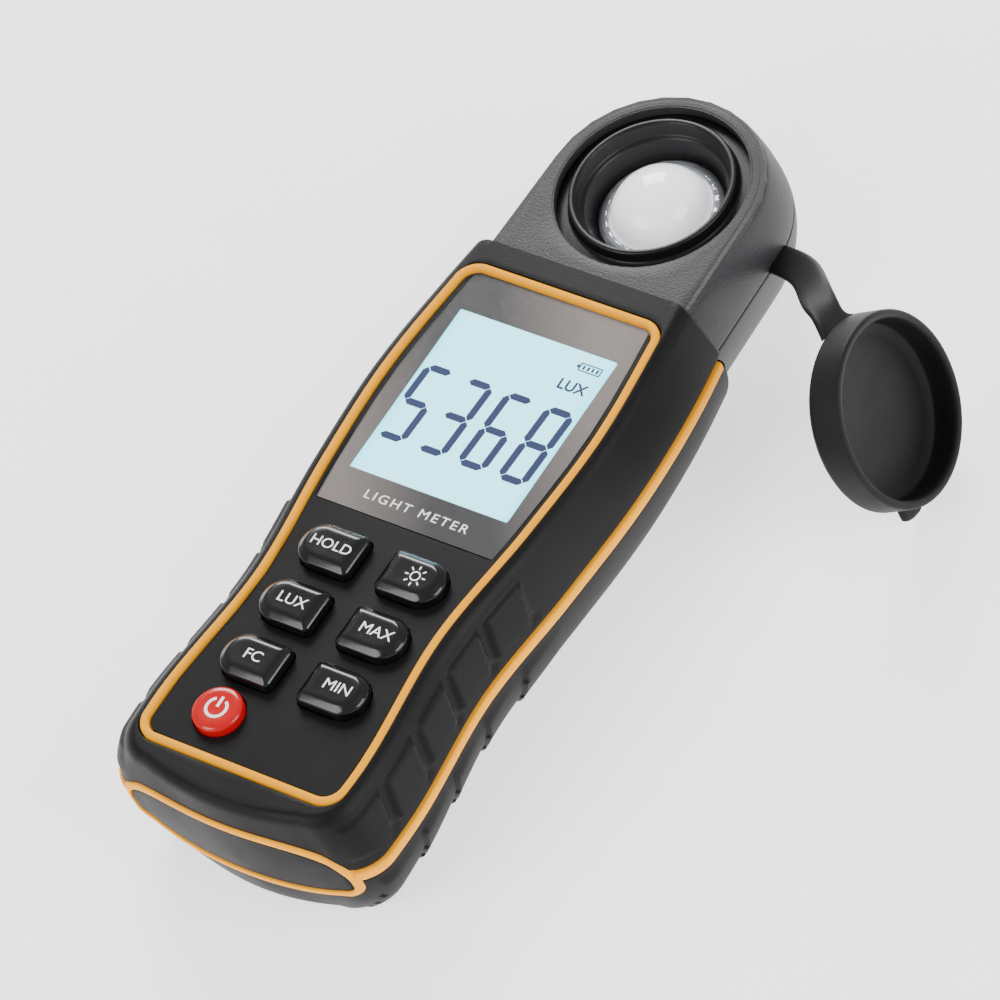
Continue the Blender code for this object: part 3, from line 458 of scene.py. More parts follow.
def moulded_grain() -> bpy.types.NodeTree:
    """Spark-eroded grain: fine cells broken up by noise, with a slow change of tone.

    Returns:
        The group, which gives a height and a tone.
    """
    nodes, given, wanted = group("moulded_grain", ("Vector", "Scale"), ("Height", "Tone"))
    cells = nodes.add("ShaderNodeTexVoronoi", feature="SMOOTH_F1")
    fine = nodes.add("ShaderNodeTexNoise")
    for node in (cells, fine):
        nodes.link(given["Vector"], node.inputs["Vector"])
        nodes.link(given["Scale"], node.inputs["Scale"])
    fine.inputs["Detail"].default_value = 3.0
    total = nodes.math("MULTIPLY_ADD", cells.outputs["Distance"], 0.8, fine.outputs["Fac"])
    nodes.link(total, wanted["Height"])
    slow = nodes.remap(nodes.noise(given["Vector"], TONE_SCALE, 4.0).outputs["Fac"], 0.0, 0.5, 0.3, 0.7)
    nodes.link(nodes.math("MULTIPLY_ADD", fine.outputs["Fac"], 0.5, slow), wanted["Tone"])
    return nodes.tree


def handling_marks() -> bpy.types.NodeTree:
    """Marks of handling: faint smears stretched along the body.

    Returns:
        The group, which gives a smear mask.
    """
    nodes, given, wanted = group("handling_marks", ("Vector", "Scale"), ("Smear",))
    stretch = nodes.add("ShaderNodeMapping")
    nodes.link(given["Vector"], stretch.inputs["Vector"])
    stretch.inputs["Scale"].default_value = (1.0, 0.35, 1.0)
    smear = nodes.add("ShaderNodeTexNoise")
    nodes.link(stretch.outputs["Vector"], smear.inputs["Vector"])
    nodes.link(given["Scale"], smear.inputs["Scale"])
    smear.inputs["Detail"].default_value = 5.0
    nodes.link(nodes.remap(smear.outputs["Fac"], 0.0, 1.0, 0.42, 0.68), wanted["Smear"])
    return nodes.tree


class Print(Enum):
    """How a finish's second colour is laid out."""

    GRAIN = "grain"
    # Painted reflection: two bright slanting bands across the label.
    REFLECTION_BANDS = "sheen band"
    # Painted shade: the lit face is darker towards its left and right edges.
    SHADED_SIDES = "glow"
    JACKET = "jacket"
    TRACKS = "tracks"


@dataclass(frozen=True)
class Finish:
    """A moulded, printed or plated finish.

    Fields give its dark and its light tone, its roughness from clean to worn, the grain's cells
    per metre and its height in millimetres, and the shader's own constant values.
    """

    name: str
    dark: tuple[float, float, float]
    light: tuple[float, float, float]
    rough: tuple[float, float] = (0.4, 0.5)
    grain: float = 2600.0
    height: float = 0.02
    metallic: float = 0.0
    coat: float = 0.0
    clear: float = 0.0
    alpha: float = 1.0
    glow: float = 0.0
    specular: float = 0.5
    layout: Print = Print.GRAIN

    def make(self) -> bpy.types.Material:
        """Build the material.

        Returns:
            A node material whose colour, roughness and relief vary over the surface.
        """
        material = bpy.data.materials.new(self.name)
        material.use_nodes = True
        nodes = Nodes(material.node_tree)
        shader = material.node_tree.nodes["Principled BSDF"]
        for socket, value in (("Metallic", self.metallic), ("Coat Weight", self.coat),
                              ("Transmission Weight", self.clear), ("Alpha", self.alpha),
                              ("Emission Strength", self.glow), ("Specular IOR Level", self.specular),
                              ("Coat Roughness", COAT_ROUGHNESS)):
            shader.inputs[socket].default_value = value
        place = nodes.add("ShaderNodeTexCoord").outputs["Object"]
        grain = nodes.add("ShaderNodeGroup", node_tree=bpy.data.node_groups["moulded_grain"])
        marks = nodes.add("ShaderNodeGroup", node_tree=bpy.data.node_groups["handling_marks"])
        for node, scale in ((grain, self.grain), (marks, SMEAR_SCALE)):
            nodes.link(place, node.inputs["Vector"])
            node.inputs["Scale"].default_value = scale
        colour = nodes.mix(self.share(nodes, place, grain), self.dark, self.light)
        nodes.link(colour, shader.inputs["Base Color"])
        if self.glow:
            nodes.link(colour, shader.inputs["Emission Color"])
        nodes.link(nodes.remap(marks.outputs["Smear"], *self.rough), shader.inputs["Roughness"])
        bump = nodes.add("ShaderNodeBump")
        bump.inputs["Strength"].default_value = 1.0
        bump.inputs["Distance"].default_value = self.height * MM
        nodes.link(grain.outputs["Height"], bump.inputs["Height"])
        nodes.link(bump.outputs["Normal"], shader.inputs["Normal"])
        return material

    def share(self, nodes: Nodes, place: bpy.types.NodeSocket,
              grain: bpy.types.Node) -> bpy.types.NodeSocket:
        """Lay out the light tone over the dark one.

        Args:
            nodes: The material's nodes.
            place: Object coordinates.
            grain: The grain group's node.

        Returns:
            A socket that is nothing where the dark tone shows and one where the light one does.
        """
        tone = grain.outputs["Tone"]
        if self.layout is Print.GRAIN:
            return tone
        split = nodes.add("ShaderNodeSeparateXYZ")
        nodes.link(place, split.inputs["Vector"])
        # Painted reflection: the label is lighter in two slanting bands.
        if self.layout is Print.REFLECTION_BANDS:
            return self.bands(nodes, split, REFLECTION_LEAN, REFLECTION_UPPER, REFLECTION_LOWER)
        if self.layout is Print.JACKET:
            return nodes.remap(split.outputs["Y"], 0.0, 1.0, *JACKET_EDGE)
        if self.layout is Print.TRACKS:
            wave = nodes.add("ShaderNodeTexWave", wave_type="BANDS", bands_direction="DIAGONAL")
            nodes.link(place, wave.inputs["Vector"])
            wave.inputs["Scale"].default_value = TRACK_SCALE
            wave.inputs["Distortion"].default_value = 3.0
            return nodes.remap(wave.outputs["Fac"], 0.0, 1.0, 0.55, 0.62)
        # Painted shade: the lit face darkens towards its left and right edges.
        return nodes.remap(nodes.math("ABSOLUTE", split.outputs["X"]), 1.0, 0.0, *SIDE_SHADE_EDGE)

    @staticmethod
    def bands(nodes: Nodes, split: bpy.types.Node, lean: float, upper: tuple[float, float],
              lower: tuple[float, float]) -> bpy.types.NodeSocket:
        """Give two soft slanting bands of painted reflection, as brushed foil shows under a softbox.

        The place along a slanted line is X times the lean plus Y; it brightens over each range.

        Args:
            nodes: The material's nodes.
            split: Node that gives the coordinates apart.
            lean: How much X counts.
            upper: Range of the upper band.
            lower: Range of the lower band.

        Returns:
            A socket that is one where a band is at its brightest.
        """
        along = nodes.math("MULTIPLY_ADD", split.outputs["X"], lean, split.outputs["Y"])
        upper_band, lower_band = (nodes.remap(along, 0.0, 1.0, *reach) for reach in (upper, lower))
        return nodes.math("ADD", upper_band, lower_band, clamp=True)


FINISHES = {
    "rubber": Finish("grip_rubber", (0.0035, 0.0035, 0.004), (0.009, 0.009, 0.0095), (0.46, 0.62), 3200.0,
                     0.02, specular=0.17),
    "shell": Finish("grained_shell", (0.020, 0.020, 0.022), (0.052, 0.052, 0.056), (0.42, 0.56), 2300.0,
                    0.045, specular=0.3),
    # Painted light: the orange trim glows faintly though it is no lamp.
    "orange": Finish("orange_trim", (1.00, 0.37, 0.000), (1.00, 0.43, 0.000), (0.42, 0.52), 2400.0, 0.006,
                     specular=0.08, glow=0.16),
    "panel": Finish("black_panel", (0.004, 0.004, 0.005), (0.008, 0.008, 0.009), (0.42, 0.55), 3600.0,
                    0.012, specular=0.14),
    "key": Finish("gloss_key", (0.003, 0.003, 0.004), (0.006, 0.006, 0.007), (0.16, 0.26), 900.0, 0.003,
                  coat=0.25, specular=0.4),
    "power": Finish("red_key", (0.52, 0.000, 0.002), (0.68, 0.000, 0.004), (0.16, 0.26), 900.0, 0.003,
                    coat=0.3, specular=0.4),
    # The label's light tone is a painted reflection, laid out in two slanting bands.
    "label": Finish("metallised_label", (0.008, 0.007, 0.007), (0.165, 0.138, 0.124), (0.30, 0.42), 4200.0,
                    0.001, metallic=0.1, specular=0.2, layout=Print.REFLECTION_BANDS),
    "clear": Finish("clear_window", (0.80, 0.84, 0.86), (0.92, 0.94, 0.96), (0.04, 0.10), 700.0, 0.001,
                    alpha=0.03, specular=0.2),
    # The display's dark tone is painted shade at its left and right edges.
    "display": Finish("lit_display", (0.16, 0.74, 0.95), (0.30, 0.86, 1.00), (0.30, 0.42), 1500.0, 0.001,
                      glow=2.1, specular=0.1, layout=Print.SHADED_SIDES),
    # Painted light: the dome glows though it is no lamp.
    "dome": Finish("opal_dome", (0.86, 0.87, 0.90), (0.93, 0.94, 0.97), (0.10, 0.20), 800.0, 0.002,
                   coat=0.4, glow=0.9),
    "ring": Finish("clear_ring", (0.10, 0.11, 0.12), (0.66, 0.68, 0.72), (0.06, 0.16), 420.0, 0.06,
                   metallic=0.3, coat=0.8),
    "collar": Finish("collar_black", (0.005, 0.005, 0.006), (0.011, 0.011, 0.012), (0.30, 0.42), 3200.0,
                     0.006, specular=0.3),
    "filter": Finish("filter_glass", (0.12, 0.36, 0.32), (0.20, 0.46, 0.40), (0.04, 0.10), 600.0, 0.002,
                     clear=0.7),
    "white": Finish("light_guide", (0.78, 0.80, 0.84), (0.88, 0.90, 0.92), (0.30, 0.45), 1200.0, 0.004),
    "cell": Finish("cell_jacket", (0.62, 0.44, 0.10), (0.02, 0.04, 0.14), (0.20, 0.34), 1200.0, 0.003,
                   metallic=0.4, layout=Print.JACKET),
    "board": Finish("solder_resist", (0.006, 0.085, 0.030), (0.02, 0.19, 0.075), (0.24, 0.38), 1600.0, 0.02,
                    layout=Print.TRACKS),
    "chip": Finish("moulded_package", (0.012, 0.012, 0.013), (0.028, 0.028, 0.030), (0.45, 0.60), 3000.0,
                   0.01),
    "steel": Finish("plated_steel", (0.46, 0.46, 0.45), (0.66, 0.66, 0.64), (0.22, 0.38), 1500.0, 0.006,
                    metallic=1.0),
    "film": Finish("flexible_film", (0.52, 0.24, 0.04), (0.70, 0.36, 0.08), (0.30, 0.45), 1300.0, 0.004),
    "cap": Finish("cap_rubber", (0.005, 0.005, 0.006), (0.011, 0.011, 0.012), (0.50, 0.68), 2300.0, 0.02,
                  specular=0.2),
    # Painted light: the white print glows though it is no lamp.
    "legend": Finish("white_print", (0.80, 0.80, 0.80), (0.92, 0.92, 0.92), (0.40, 0.55), 3000.0, 0.002,
                     glow=0.5),
    "digit": Finish("dark_blue_segment", (0.000, 0.012, 0.085), (0.001, 0.020, 0.120), (0.40, 0.55), 2000.0,
                    0.001, specular=0.05),
}


# ---------------------------------------------------------------- forms shared by several pieces

@dataclass(frozen=True)
class BodyForm:
    """The waisted body: half-widths at its belt and at its shoulder, and its leaning lower end."""

    length: float = 178.5
    width: float = 63.5
    thickness: float = 31.0
    boot: float = 41.55
    band_low: float = 16.3
    band_high: float = 18.7
    corner: float = 8.0
    bow: float = 2.6
    taper: float = 6.67
    edge_round: float = 1.2
    belt: Places = ((-0.50, 0.470), (-0.40, 0.478), (-0.235, 0.4425), (-0.10, 0.476), (0.05, 0.4965),
                    (0.17, 0.474), (0.235, 0.447))
    shoulder: Places = ((-0.50, 0.380), (-0.41, 0.396), (-0.225, 0.3605), (-0.08, 0.403), (0.05, 0.421),
                        (0.17, 0.394), (0.235, 0.372))

    def curve(self, stations: Places, y: np.ndarray) -> np.ndarray:
        """Half-width along a smooth curve: cubic Hermite spans with central-difference slopes.

        Args:
            stations: Shares of the length and of the width.
            y: Places along the body.

        Returns:
            Half-widths.
        """
        table = np.array(stations) * (self.length, self.width)
        places, values = table.T
        slopes = np.gradient(values, places)
        i = np.clip(np.searchsorted(places, y) - 1, 0, len(places) - 2)
        step = places[i + 1] - places[i]
        t = np.clip((y - places[i]) / step, 0.0, 1.0)
        start = values[i] * (2 * t**3 - 3 * t**2 + 1) + slopes[i] * step * (t**3 - 2 * t**2 + t)
        return start + values[i + 1] * (3 * t**2 - 2 * t**3) + slopes[i + 1] * step * (t**3 - t**2)

    def half_width(self, y: np.ndarray, z: np.ndarray) -> np.ndarray:
        """Half-width at a place: the belt's, closing in by a power of the height above or below it.

        Args:
            y: Places along the body.
            z: Heights above the back.

        Returns:
            Half-widths.
        """
        belt = self.curve(self.belt, y)
        up = np.clip((z - self.band_high) / (self.thickness - self.band_high), 0, None)
        down = np.clip((self.band_low - z) / self.band_low, 0, 1)
        return belt + (self.curve(self.shoulder, y) - belt) * up**1.25 - self.taper * down**2.2

    def end(self, z: np.ndarray) -> np.ndarray:
        """Place of the lower end: it leans in with the square of the height above or below the belt.

        Args:
            z: Heights above the back.

        Returns:
            Y of the end.
        """
        up = np.clip((z - self.band_high) / (self.thickness - self.band_high), 0, None)
        down = np.clip((self.band_low - z) / self.band_low, 0, None)
        return -self.length / 2 + 1.0 * up**2 + 2.2 * down**2

    def end_face(self, x: np.ndarray, z: np.ndarray) -> np.ndarray:
        """Y of the lower end's surface: a parabola across, then the round corner.

        Args:
            x: Places across the body.
            z: Heights above the back.

        Returns:
            Y of the surface.
        """
        start = self.end(z)
        middle = self.half_width(start + self.bow + self.corner, z) - self.corner
        past = np.clip(np.abs(x) - middle, 0, self.corner)
        lead = self.corner * math.cos(math.radians(75))
        drop = self.corner * (1 - math.sin(math.radians(75)))
        arc = self.corner - np.sqrt(np.clip(self.corner**2 - past**2, 0, None))
        bow = self.bow * np.clip(np.abs(x) / middle, 0, 1)**2
        return start + bow + np.where(past < lead, drop * past / lead, arc)

    def outline(self, z: float, inset: float, top: float | None = None, fine: int = 200) -> np.ndarray:
        """Closed outline at a height: bowed lower end, round corners, waisted sides and flat top edge.

        Args:
            z: Height.
            inset: How far the outline lies inside the surface.
            top: Y of the flat top edge, or the boot edge.
            fine: Points along each side.

        Returns:
            Points from the middle of the lower end, round by the right side.
        """
        top = self.boot if top is None else top
        start = float(self.end(np.array(z))) + inset
        radius = self.corner - min(inset, 4.0)
        corner_y = start + self.bow + radius
        side = float(self.half_width(np.array(corner_y), np.array(z))) - inset
        across = np.linspace(0, side - radius, 16)
        bow = pairs(across, start + self.bow * (across / (side - radius))**2)
        corner = radius * turned(-75, 0, 14) + (side - radius, corner_y)
        y = np.linspace(corner_y, top - self.edge_round, fine)[1:]
        flank = pairs(self.half_width(y, np.full_like(y, z)) - inset, y)
        upper = self.edge_round * turned(0, 90, 6)[1:] + (flank[-1, 0] - self.edge_round,
                                                          top - self.edge_round)
        edge = pairs(np.linspace(upper[-1, 0], 0, 26)[1:], top)
        return mirrored(np.concatenate([bow, corner, flank, upper, edge]))


@dataclass(frozen=True)
class FrameForm:
    """Outline of the front panel's frame, which follows the shoulder of the body."""

    body: BodyForm
    inset: float = 1.6
    low: float = -81.35
    high: float = 36.15
    corner: float = 5.0

    def outline(self, inset: float, fine: int = 120) -> np.ndarray:
        """Closed outline: shoulder half-width less the inset, with four round corners.

        Args:
            inset: How far inside the frame's outer edge.
            fine: Points along each side.

        Returns:
            Points from the middle of the lower edge.
        """
        radius = max(self.corner - inset, 0.6)
        low, high = self.low + inset, self.high - inset
        y = np.linspace(low + radius, high - radius, fine)
        half = self.body.curve(self.body.shoulder, y) - self.inset - inset
        turn = turned(0, 90, 12) * radius
        bottom = turn[::-1] * (1, -1) + (half[0] - radius, low + radius)
        upper = turn + (half[-1] - radius, high - radius)
        share = np.linspace(1, 0, 12)[1:]
        return mirrored(np.concatenate([bottom[:1] * pairs(1 - share, 1.0), bottom[1:-1], pairs(half, y),
                                        upper[1:], upper[-1:] * pairs(share, 1.0)]))


def outward(outline: np.ndarray) -> np.ndarray:
    """Unit normals of a closed flat outline that runs anticlockwise.

    Args:
        outline: Flat points, anticlockwise.

    Returns:
        One normal for each point.
    """
    step = np.roll(outline, -1, axis=0) - np.roll(outline, 1, axis=0)
    normal = pairs(step[:, 1], -step[:, 0])
    return normal / np.maximum(np.linalg.norm(normal, axis=1, keepdims=True), 1e-9)


def towards(outline: np.ndarray, centre: tuple[float, float], half: tuple[float, float]) -> np.ndarray:
    """Points on a rectangle, each on the ray from its centre to a point of the outline.

    Args:
        outline: Flat points, anticlockwise.
        centre: Its middle.
        half: Half-widths of the rectangle.

    Returns:
        One point for each point of the outline.
    """
    ray = outline - centre
    scale = np.min(np.array(half) / np.maximum(np.abs(ray), 1e-6), axis=1)
    return centre + ray * scale[:, None]


# ---------------------------------------------------------------- the body's rubber and trim

@dataclass(frozen=True)
class Grips:
    """Front and rear rubber grips, with tread pads on the front slopes and notches behind."""

    body: BodyForm
    frame: FrameForm
    wall: float = 1.8
    ledge: float = 2.6
    pitch: float = 12.4
    first_pad: float = -30.0
    pads: int = 5
    pad_height: float = 0.95
    pad_half: tuple[float, float] = (5.0, 3.3)
    pad_level: float = 24.9
    pad_slant: float = 0.45
    dimple_depth: float = 0.5
    dimple_level: float = 21.0
    notch_depth: float = 0.85
    notch_level: float = 6.5
    shoulder_round: float = 2.0
    back_round: float = 1.1
    bore_radius: float = 2.7
    door_middle: float = -45.81
    door_half: tuple[float, float] = (17.6, 30.3)
    screws: Places = ((-17.02, -79.35), (-17.02, 35.75), (17.02, -79.35), (17.02, 35.75))

    def pad_relief(self, outline: np.ndarray, z: float) -> np.ndarray:
        """Height of the treads: slanted pads, each a soft box along and across, and small dimples.

        Args:
            outline: Flat points, anticlockwise.
            z: Height above the back.

        Returns:
            A height for each point.
        """
        relief = np.zeros(len(outline))
        for number in range(self.pads):
            middle = self.first_pad - number * self.pitch + self.pad_slant * (z - 25.0)
            along_pad = soft_box(outline[:, 1] - middle, self.pad_half[0], 0.7)
            across_pad = soft_box(np.array(z - self.pad_level), self.pad_half[1], 0.9)
            relief += self.pad_height * along_pad * across_pad
            spot = (outline[:, 1] - middle - self.pitch / 2)**2 + (z - self.dimple_level)**2
            relief -= self.dimple_depth * np.exp(-spot / 0.9)
        return relief

    def notch_relief(self, outline: np.ndarray, z: float) -> np.ndarray:
        """Height of the rear treads: each rises steadily towards the end and drops at its edge.

        Args:
            outline: Flat points, anticlockwise.
            z: Height above the back.

        Returns:
            A height for each point.
        """
        relief = np.zeros(len(outline))
        for number in range(self.pads):
            middle = self.first_pad - 3.0 - number * self.pitch
            behind = np.clip((middle + self.pitch - outline[:, 1]) / self.pitch, 0, 1)
            step = behind * (outline[:, 1] > middle) * (outline[:, 1] <= middle + self.pitch)
            relief += self.notch_depth * step * soft_box(np.array(z - self.notch_level), 7.0, 3.0)
        return relief

    def row(self, z: float, inset: float, relief: np.ndarray | float = 0.0) -> np.ndarray:
        """One row of the wall: the outline moved out along its side normals by a relief.

        Args:
            z: Height above the back.
            inset: How far the outline lies inside the surface.
            relief: Heights of the treads.

        Returns:
            Points at that height.
        """
        outline = self.body.outline(z, inset)
        normal = outward(outline)
        side = np.clip(np.abs(normal[:, 0]) * 2 - 1, 0, 1) * (outline[:, 1] < self.body.boot - 3)
        return lifted(outline + normal * (side * relief)[:, None], z)

    def open_boot(self, grid: np.ndarray, level: float, front: bool) -> np.ndarray:
        """Leave room for the head: at the boot edge no point passes the given level.

        Points past the level move onto the outline at that level, so that the edge stays in shape.

        Args:
            grid: Rows of the grip.
            level: Height that the case needs.
            front: Whether the grip is the front one.

        Returns:
            The grid with its boot edge opened.
        """
        seam = self.body.outline(self.body.band_high, 0.0)
        at_edge = (seam[:, 1] > self.body.boot - 0.1) & (np.abs(seam[:, 0]) < 26.4)
        inner = self.row(level, self.wall)[at_edge]
        outer = self.row(level, 0.0)[at_edge]
        for row in grid:
            past = row[at_edge, 2] < level if front else row[at_edge, 2] > level
            inside = abs(row[0, 1] - self.row(row[0, 2], self.wall)[0, 1]) < 0.01
            row[at_edge] = np.where(past[:, None], inner if inside else outer, row[at_edge])
        return grid

    def front(self, finish: bpy.types.Material) -> bpy.types.Object:
        """Build the front grip as a ring section: wall, round shoulder, ledge and inner wall.

        Args:
            finish: Its material.

        Returns:
            The new object.
        """
        top = self.body.thickness
        radius = self.shoulder_round
        rows = [self.row(19.0, 0.35), self.row(19.12, 0.12), self.row(19.4, 0.0)]
        for z in np.linspace(19.8, top - radius, 26):
            rows.append(self.row(z, 0.0, self.pad_relief(self.body.outline(z, 0.0), z)))
        for turn in np.radians(np.linspace(12, 90, 7)):
            z = top - radius + radius * math.sin(turn)
            rows.append(self.row(z, radius * (1 - math.cos(turn)) * 0.8, 0.0))
        shoulder = self.body.outline(top, 1.6)
        opening = self.match(shoulder)
        for share in (0.25, 0.5, 0.75, 0.93):
            rows.append(lifted(shoulder + (opening - shoulder) * share, top))
        rows += [lifted(opening + outward(opening) * 0.04, top - 0.06), lifted(opening, top - 0.3),
                 lifted(opening, top - self.ledge), self.row(top - self.ledge, self.wall),
                 self.row(19.0, self.wall)]
        grid = self.open_boot(np.array(rows), top - self.ledge, True)
        return surface("front_grip_rubber", grid, finish, loop=True, caps=False, sharp=50)

    def match(self, outline: np.ndarray) -> np.ndarray:
        """The panel opening's outline, with one point for each point of another outline.

        Args:
            outline: Flat points, anticlockwise.

        Returns:
            One point of the opening for each point.
        """
        opening = self.frame.outline(-0.3)
        share = self.share(outline)
        closed = np.concatenate([opening, opening[:1]])
        target = np.concatenate([self.share(opening), [1.0]])
        return pairs(np.interp(share, target, closed[:, 0]), np.interp(share, target, closed[:, 1]))

    @staticmethod
    def share(outline: np.ndarray) -> np.ndarray:
        """Share of the way round, by the angle about a tall rectangle's middle."""
        angle = np.arctan2(outline[:, 0] / 24.0, -(outline[:, 1] + 22.6) / 60.0)
        return np.mod(angle / (2 * np.pi), 1.0)

    def rear(self, finish: bpy.types.Material) -> bpy.types.Object:
        """Build the rear grip: wall, round back edge, flat back up to the door, and inner walls.

        Args:
            finish: Its material.

        Returns:
            The new object.
        """
        radius = self.back_round
        rows = [self.row(16.0, self.wall), self.row(16.0, 0.35), self.row(15.85, 0.1), self.row(15.6, 0.0)]
        for z in np.linspace(15.2, 1.3, 24):
            rows.append(self.row(z, 0.0, self.notch_relief(self.body.outline(z, 0.0), z)))
        for turn in np.radians(np.linspace(15, 90, 6)):
            rows.append(self.row(radius - radius * math.sin(turn), radius * (1 - math.cos(turn))))
        back = self.body.outline(0.0, radius)
        hole = towards(back, (0.0, self.door_middle), self.door_half)
        rows += [lifted(back + (hole - back) * share, 0.0) for share in (0.3, 0.6, 0.9)]
        rows += [lifted(hole, 0.0), lifted(hole, self.wall), self.row(self.wall, self.wall)]
        grid = self.open_boot(np.array(rows), self.wall, False)
        piece = surface("rear_grip_rubber", grid, finish, loop=True, caps=False, sharp=50)
        for x, y in self.screws:
            self.bore(piece, x, y)
        return piece

    def bore(self, piece: bpy.types.Object, x: float, y: float) -> None:
        """Cut a screw's clearance hole through the back.

        Args:
            piece: The grip.
            x: The hole's X.
            y: Its Y.
        """
        ring = revolved(np.array([(self.bore_radius, -2.0), (self.bore_radius, 4.0)]), (x, y), 32)
        cutter = surface("screw_bore", ring, piece.data.materials[0])
        modifier = piece.modifiers.new("bore", "BOOLEAN")
        modifier.object = cutter
        shape = bpy.data.meshes.new_from_object(piece.evaluated_get(bpy.context.evaluated_depsgraph_get()))
        piece.modifiers.clear()
        bpy.data.objects.remove(cutter)
        piece.data = shape

    def build(self, made: dict[str, bpy.types.Material]) -> None:
        """Build both grips and put them in place of the plain ones.

        Args:
            made: Materials by slot.
        """
        for piece, node in ((self.front(made["rubber"]), "front_grip"),
                            (self.rear(made["rubber"]), "rear_grip")):
            settle(piece, METER, "rubber", node)


@dataclass(frozen=True)
class Trim:
    """Orange side bands, the end trim, the panel frame's bead and the dark end panel."""

    body: BodyForm
    frame: FrameForm
    proud: float = 0.5
    depth: float = 1.9
    window_half: float = 26.99
    window_high: float = 24.8
    window_low: float = 8.37
    window_waist: float = 14.6
    window_powers: tuple[float, float] = (0.66, 0.78)
    trim_wide: float = 1.6

    def window(self, grow: float, count: int = 160) -> tuple[np.ndarray, np.ndarray]:
        """X and Z of the end window: a superellipse that is widest low down, near its lower edge.

        Args:
            grow: How far outside the window.
            count: Points round it.

        Returns:
            X and Z of its points.
        """
        middle = self.window_waist
        across, rise = squarish(count, *self.window_powers)
        reach = np.where(rise > 0, self.window_high + grow - middle, middle - self.window_low + grow)
        return (self.window_half + grow) * across, middle + reach * rise

    def end_row(self, grow: float, out: float) -> np.ndarray:
        """One row round the end window, standing out from the lower end by a distance."""
        x, z = self.window(grow)
        return np.stack([x, self.body.end_face(x, z) - out, z], axis=1)

    def end_trim(self, finish: bpy.types.Material) -> bpy.types.Object:
        """Build the orange trim: a rounded section carried round the end window.

        Args:
            finish: Its material.

        Returns:
            The new object.
        """
        section = [(0.0, -1.8), (0.0, 0.2), (-0.12, 0.4), (-0.4, self.proud), (-0.8, self.proud + 0.04),
                   (-1.2, self.proud), (-1.48, 0.4), (-self.trim_wide, 0.2), (-self.trim_wide, -1.8)]
        grid = np.array([self.end_row(grow, out) for grow, out in section])
        return surface("end_trim_bead", grid, finish, loop=True, caps=False)

    def end_panel(self, finish: bpy.types.Material) -> bpy.types.Object:
        """Build the end panel: the window's outline shrunk towards its middle, on the leaning end.

        Args:
            finish: Its material.

        Returns:
            The new object.
        """
        x, z = self.window(-self.trim_wide - 0.3)
        middle = self.window_waist
        rows = [np.stack([x, self.body.end_face(x, z) + 1.8, z], axis=1),
                np.stack([x, self.body.end_face(x, z) + 0.3, z], axis=1)]
        for share in (0.992, 0.975, 0.94, 0.85, 0.7, 0.5, 0.3, 0.12, 0.02):
            across, rise = x * share, middle + (z - middle) * share
            face = self.body.end_face(across, rise) - (0.02 if share > 0.98 else 0.12)
            rows.append(np.stack([across, face, rise], axis=1))
        return surface("end_panel_cover", np.array(rows), finish)

    def band(self, side: int, finish: bpy.types.Material) -> bpy.types.Object:
        """Build a side band: a crowned section carried along the belt, from the boot to the trim.

        Args:
            side: 1 for right, -1 for left.
            finish: Its material.

        Returns:
            The new object.
        """
        low, high = self.body.band_low, self.body.band_high
        section = [(-self.depth, low), (0.18, low), (0.38, low + 0.1), (self.proud, low + 0.35),
                   (self.proud + 0.08, (low + high) / 2), (self.proud, high - 0.35), (0.38, high - 0.1),
                   (0.18, high), (-self.depth, high)]
        outline = self.body.outline((low + high) / 2, 0.0, self.body.boot - 0.8, 160)
        count = len(outline) // 2
        half = outline[:count]
        normal = outward(outline)[:count]
        keep = (half[:, 0] > self.window_half - 0.7) & (half[:, 1] < self.body.boot - 1.9)
        path, normal = half[keep], normal[keep]
        grid = np.array([lifted(path + normal * out, z) for out, z in section]).transpose(1, 0, 2)
        return surface("band_right" if side > 0 else "band_left", grid * (side, 1, 1), finish)

    def bead(self, finish: bpy.types.Material) -> bpy.types.Object:
        """Build the panel frame: a round-topped section carried along the frame's outline.

        Args:
            finish: Its material.

        Returns:
            The new object.
        """
        section = [(0.0, 28.4), (0.0, 30.85), (0.06, 31.1), (0.22, 31.32), (0.48, 31.46), (0.85, 31.52),
                   (1.22, 31.46), (1.48, 31.32), (1.64, 31.1), (1.7, 30.85), (1.7, 28.4)]
        grid = np.array([lifted(self.frame.outline(inset), z) for inset, z in section])
        return surface("panel_bead", grid, finish, loop=True, caps=False)

    def build(self, made: dict[str, bpy.types.Material]) -> None:
        """Build the trim and put it in place of the plain pieces.

        Args:
            made: Materials by slot.
        """
        settle(self.end_trim(made["orange"]), METER, "orange", "end_trim")
        settle(self.end_panel(made["panel"]), METER, "panel", "end_panel")
        settle(self.band(-1, made["orange"]), METER, "orange", "side_band_left")
        settle(self.band(1, made["orange"]), METER, "orange", "side_band_right")
        settle(self.bead(made["orange"]), METER, "orange", "panel_frame")


# ---------------------------------------------------------------- display and keys

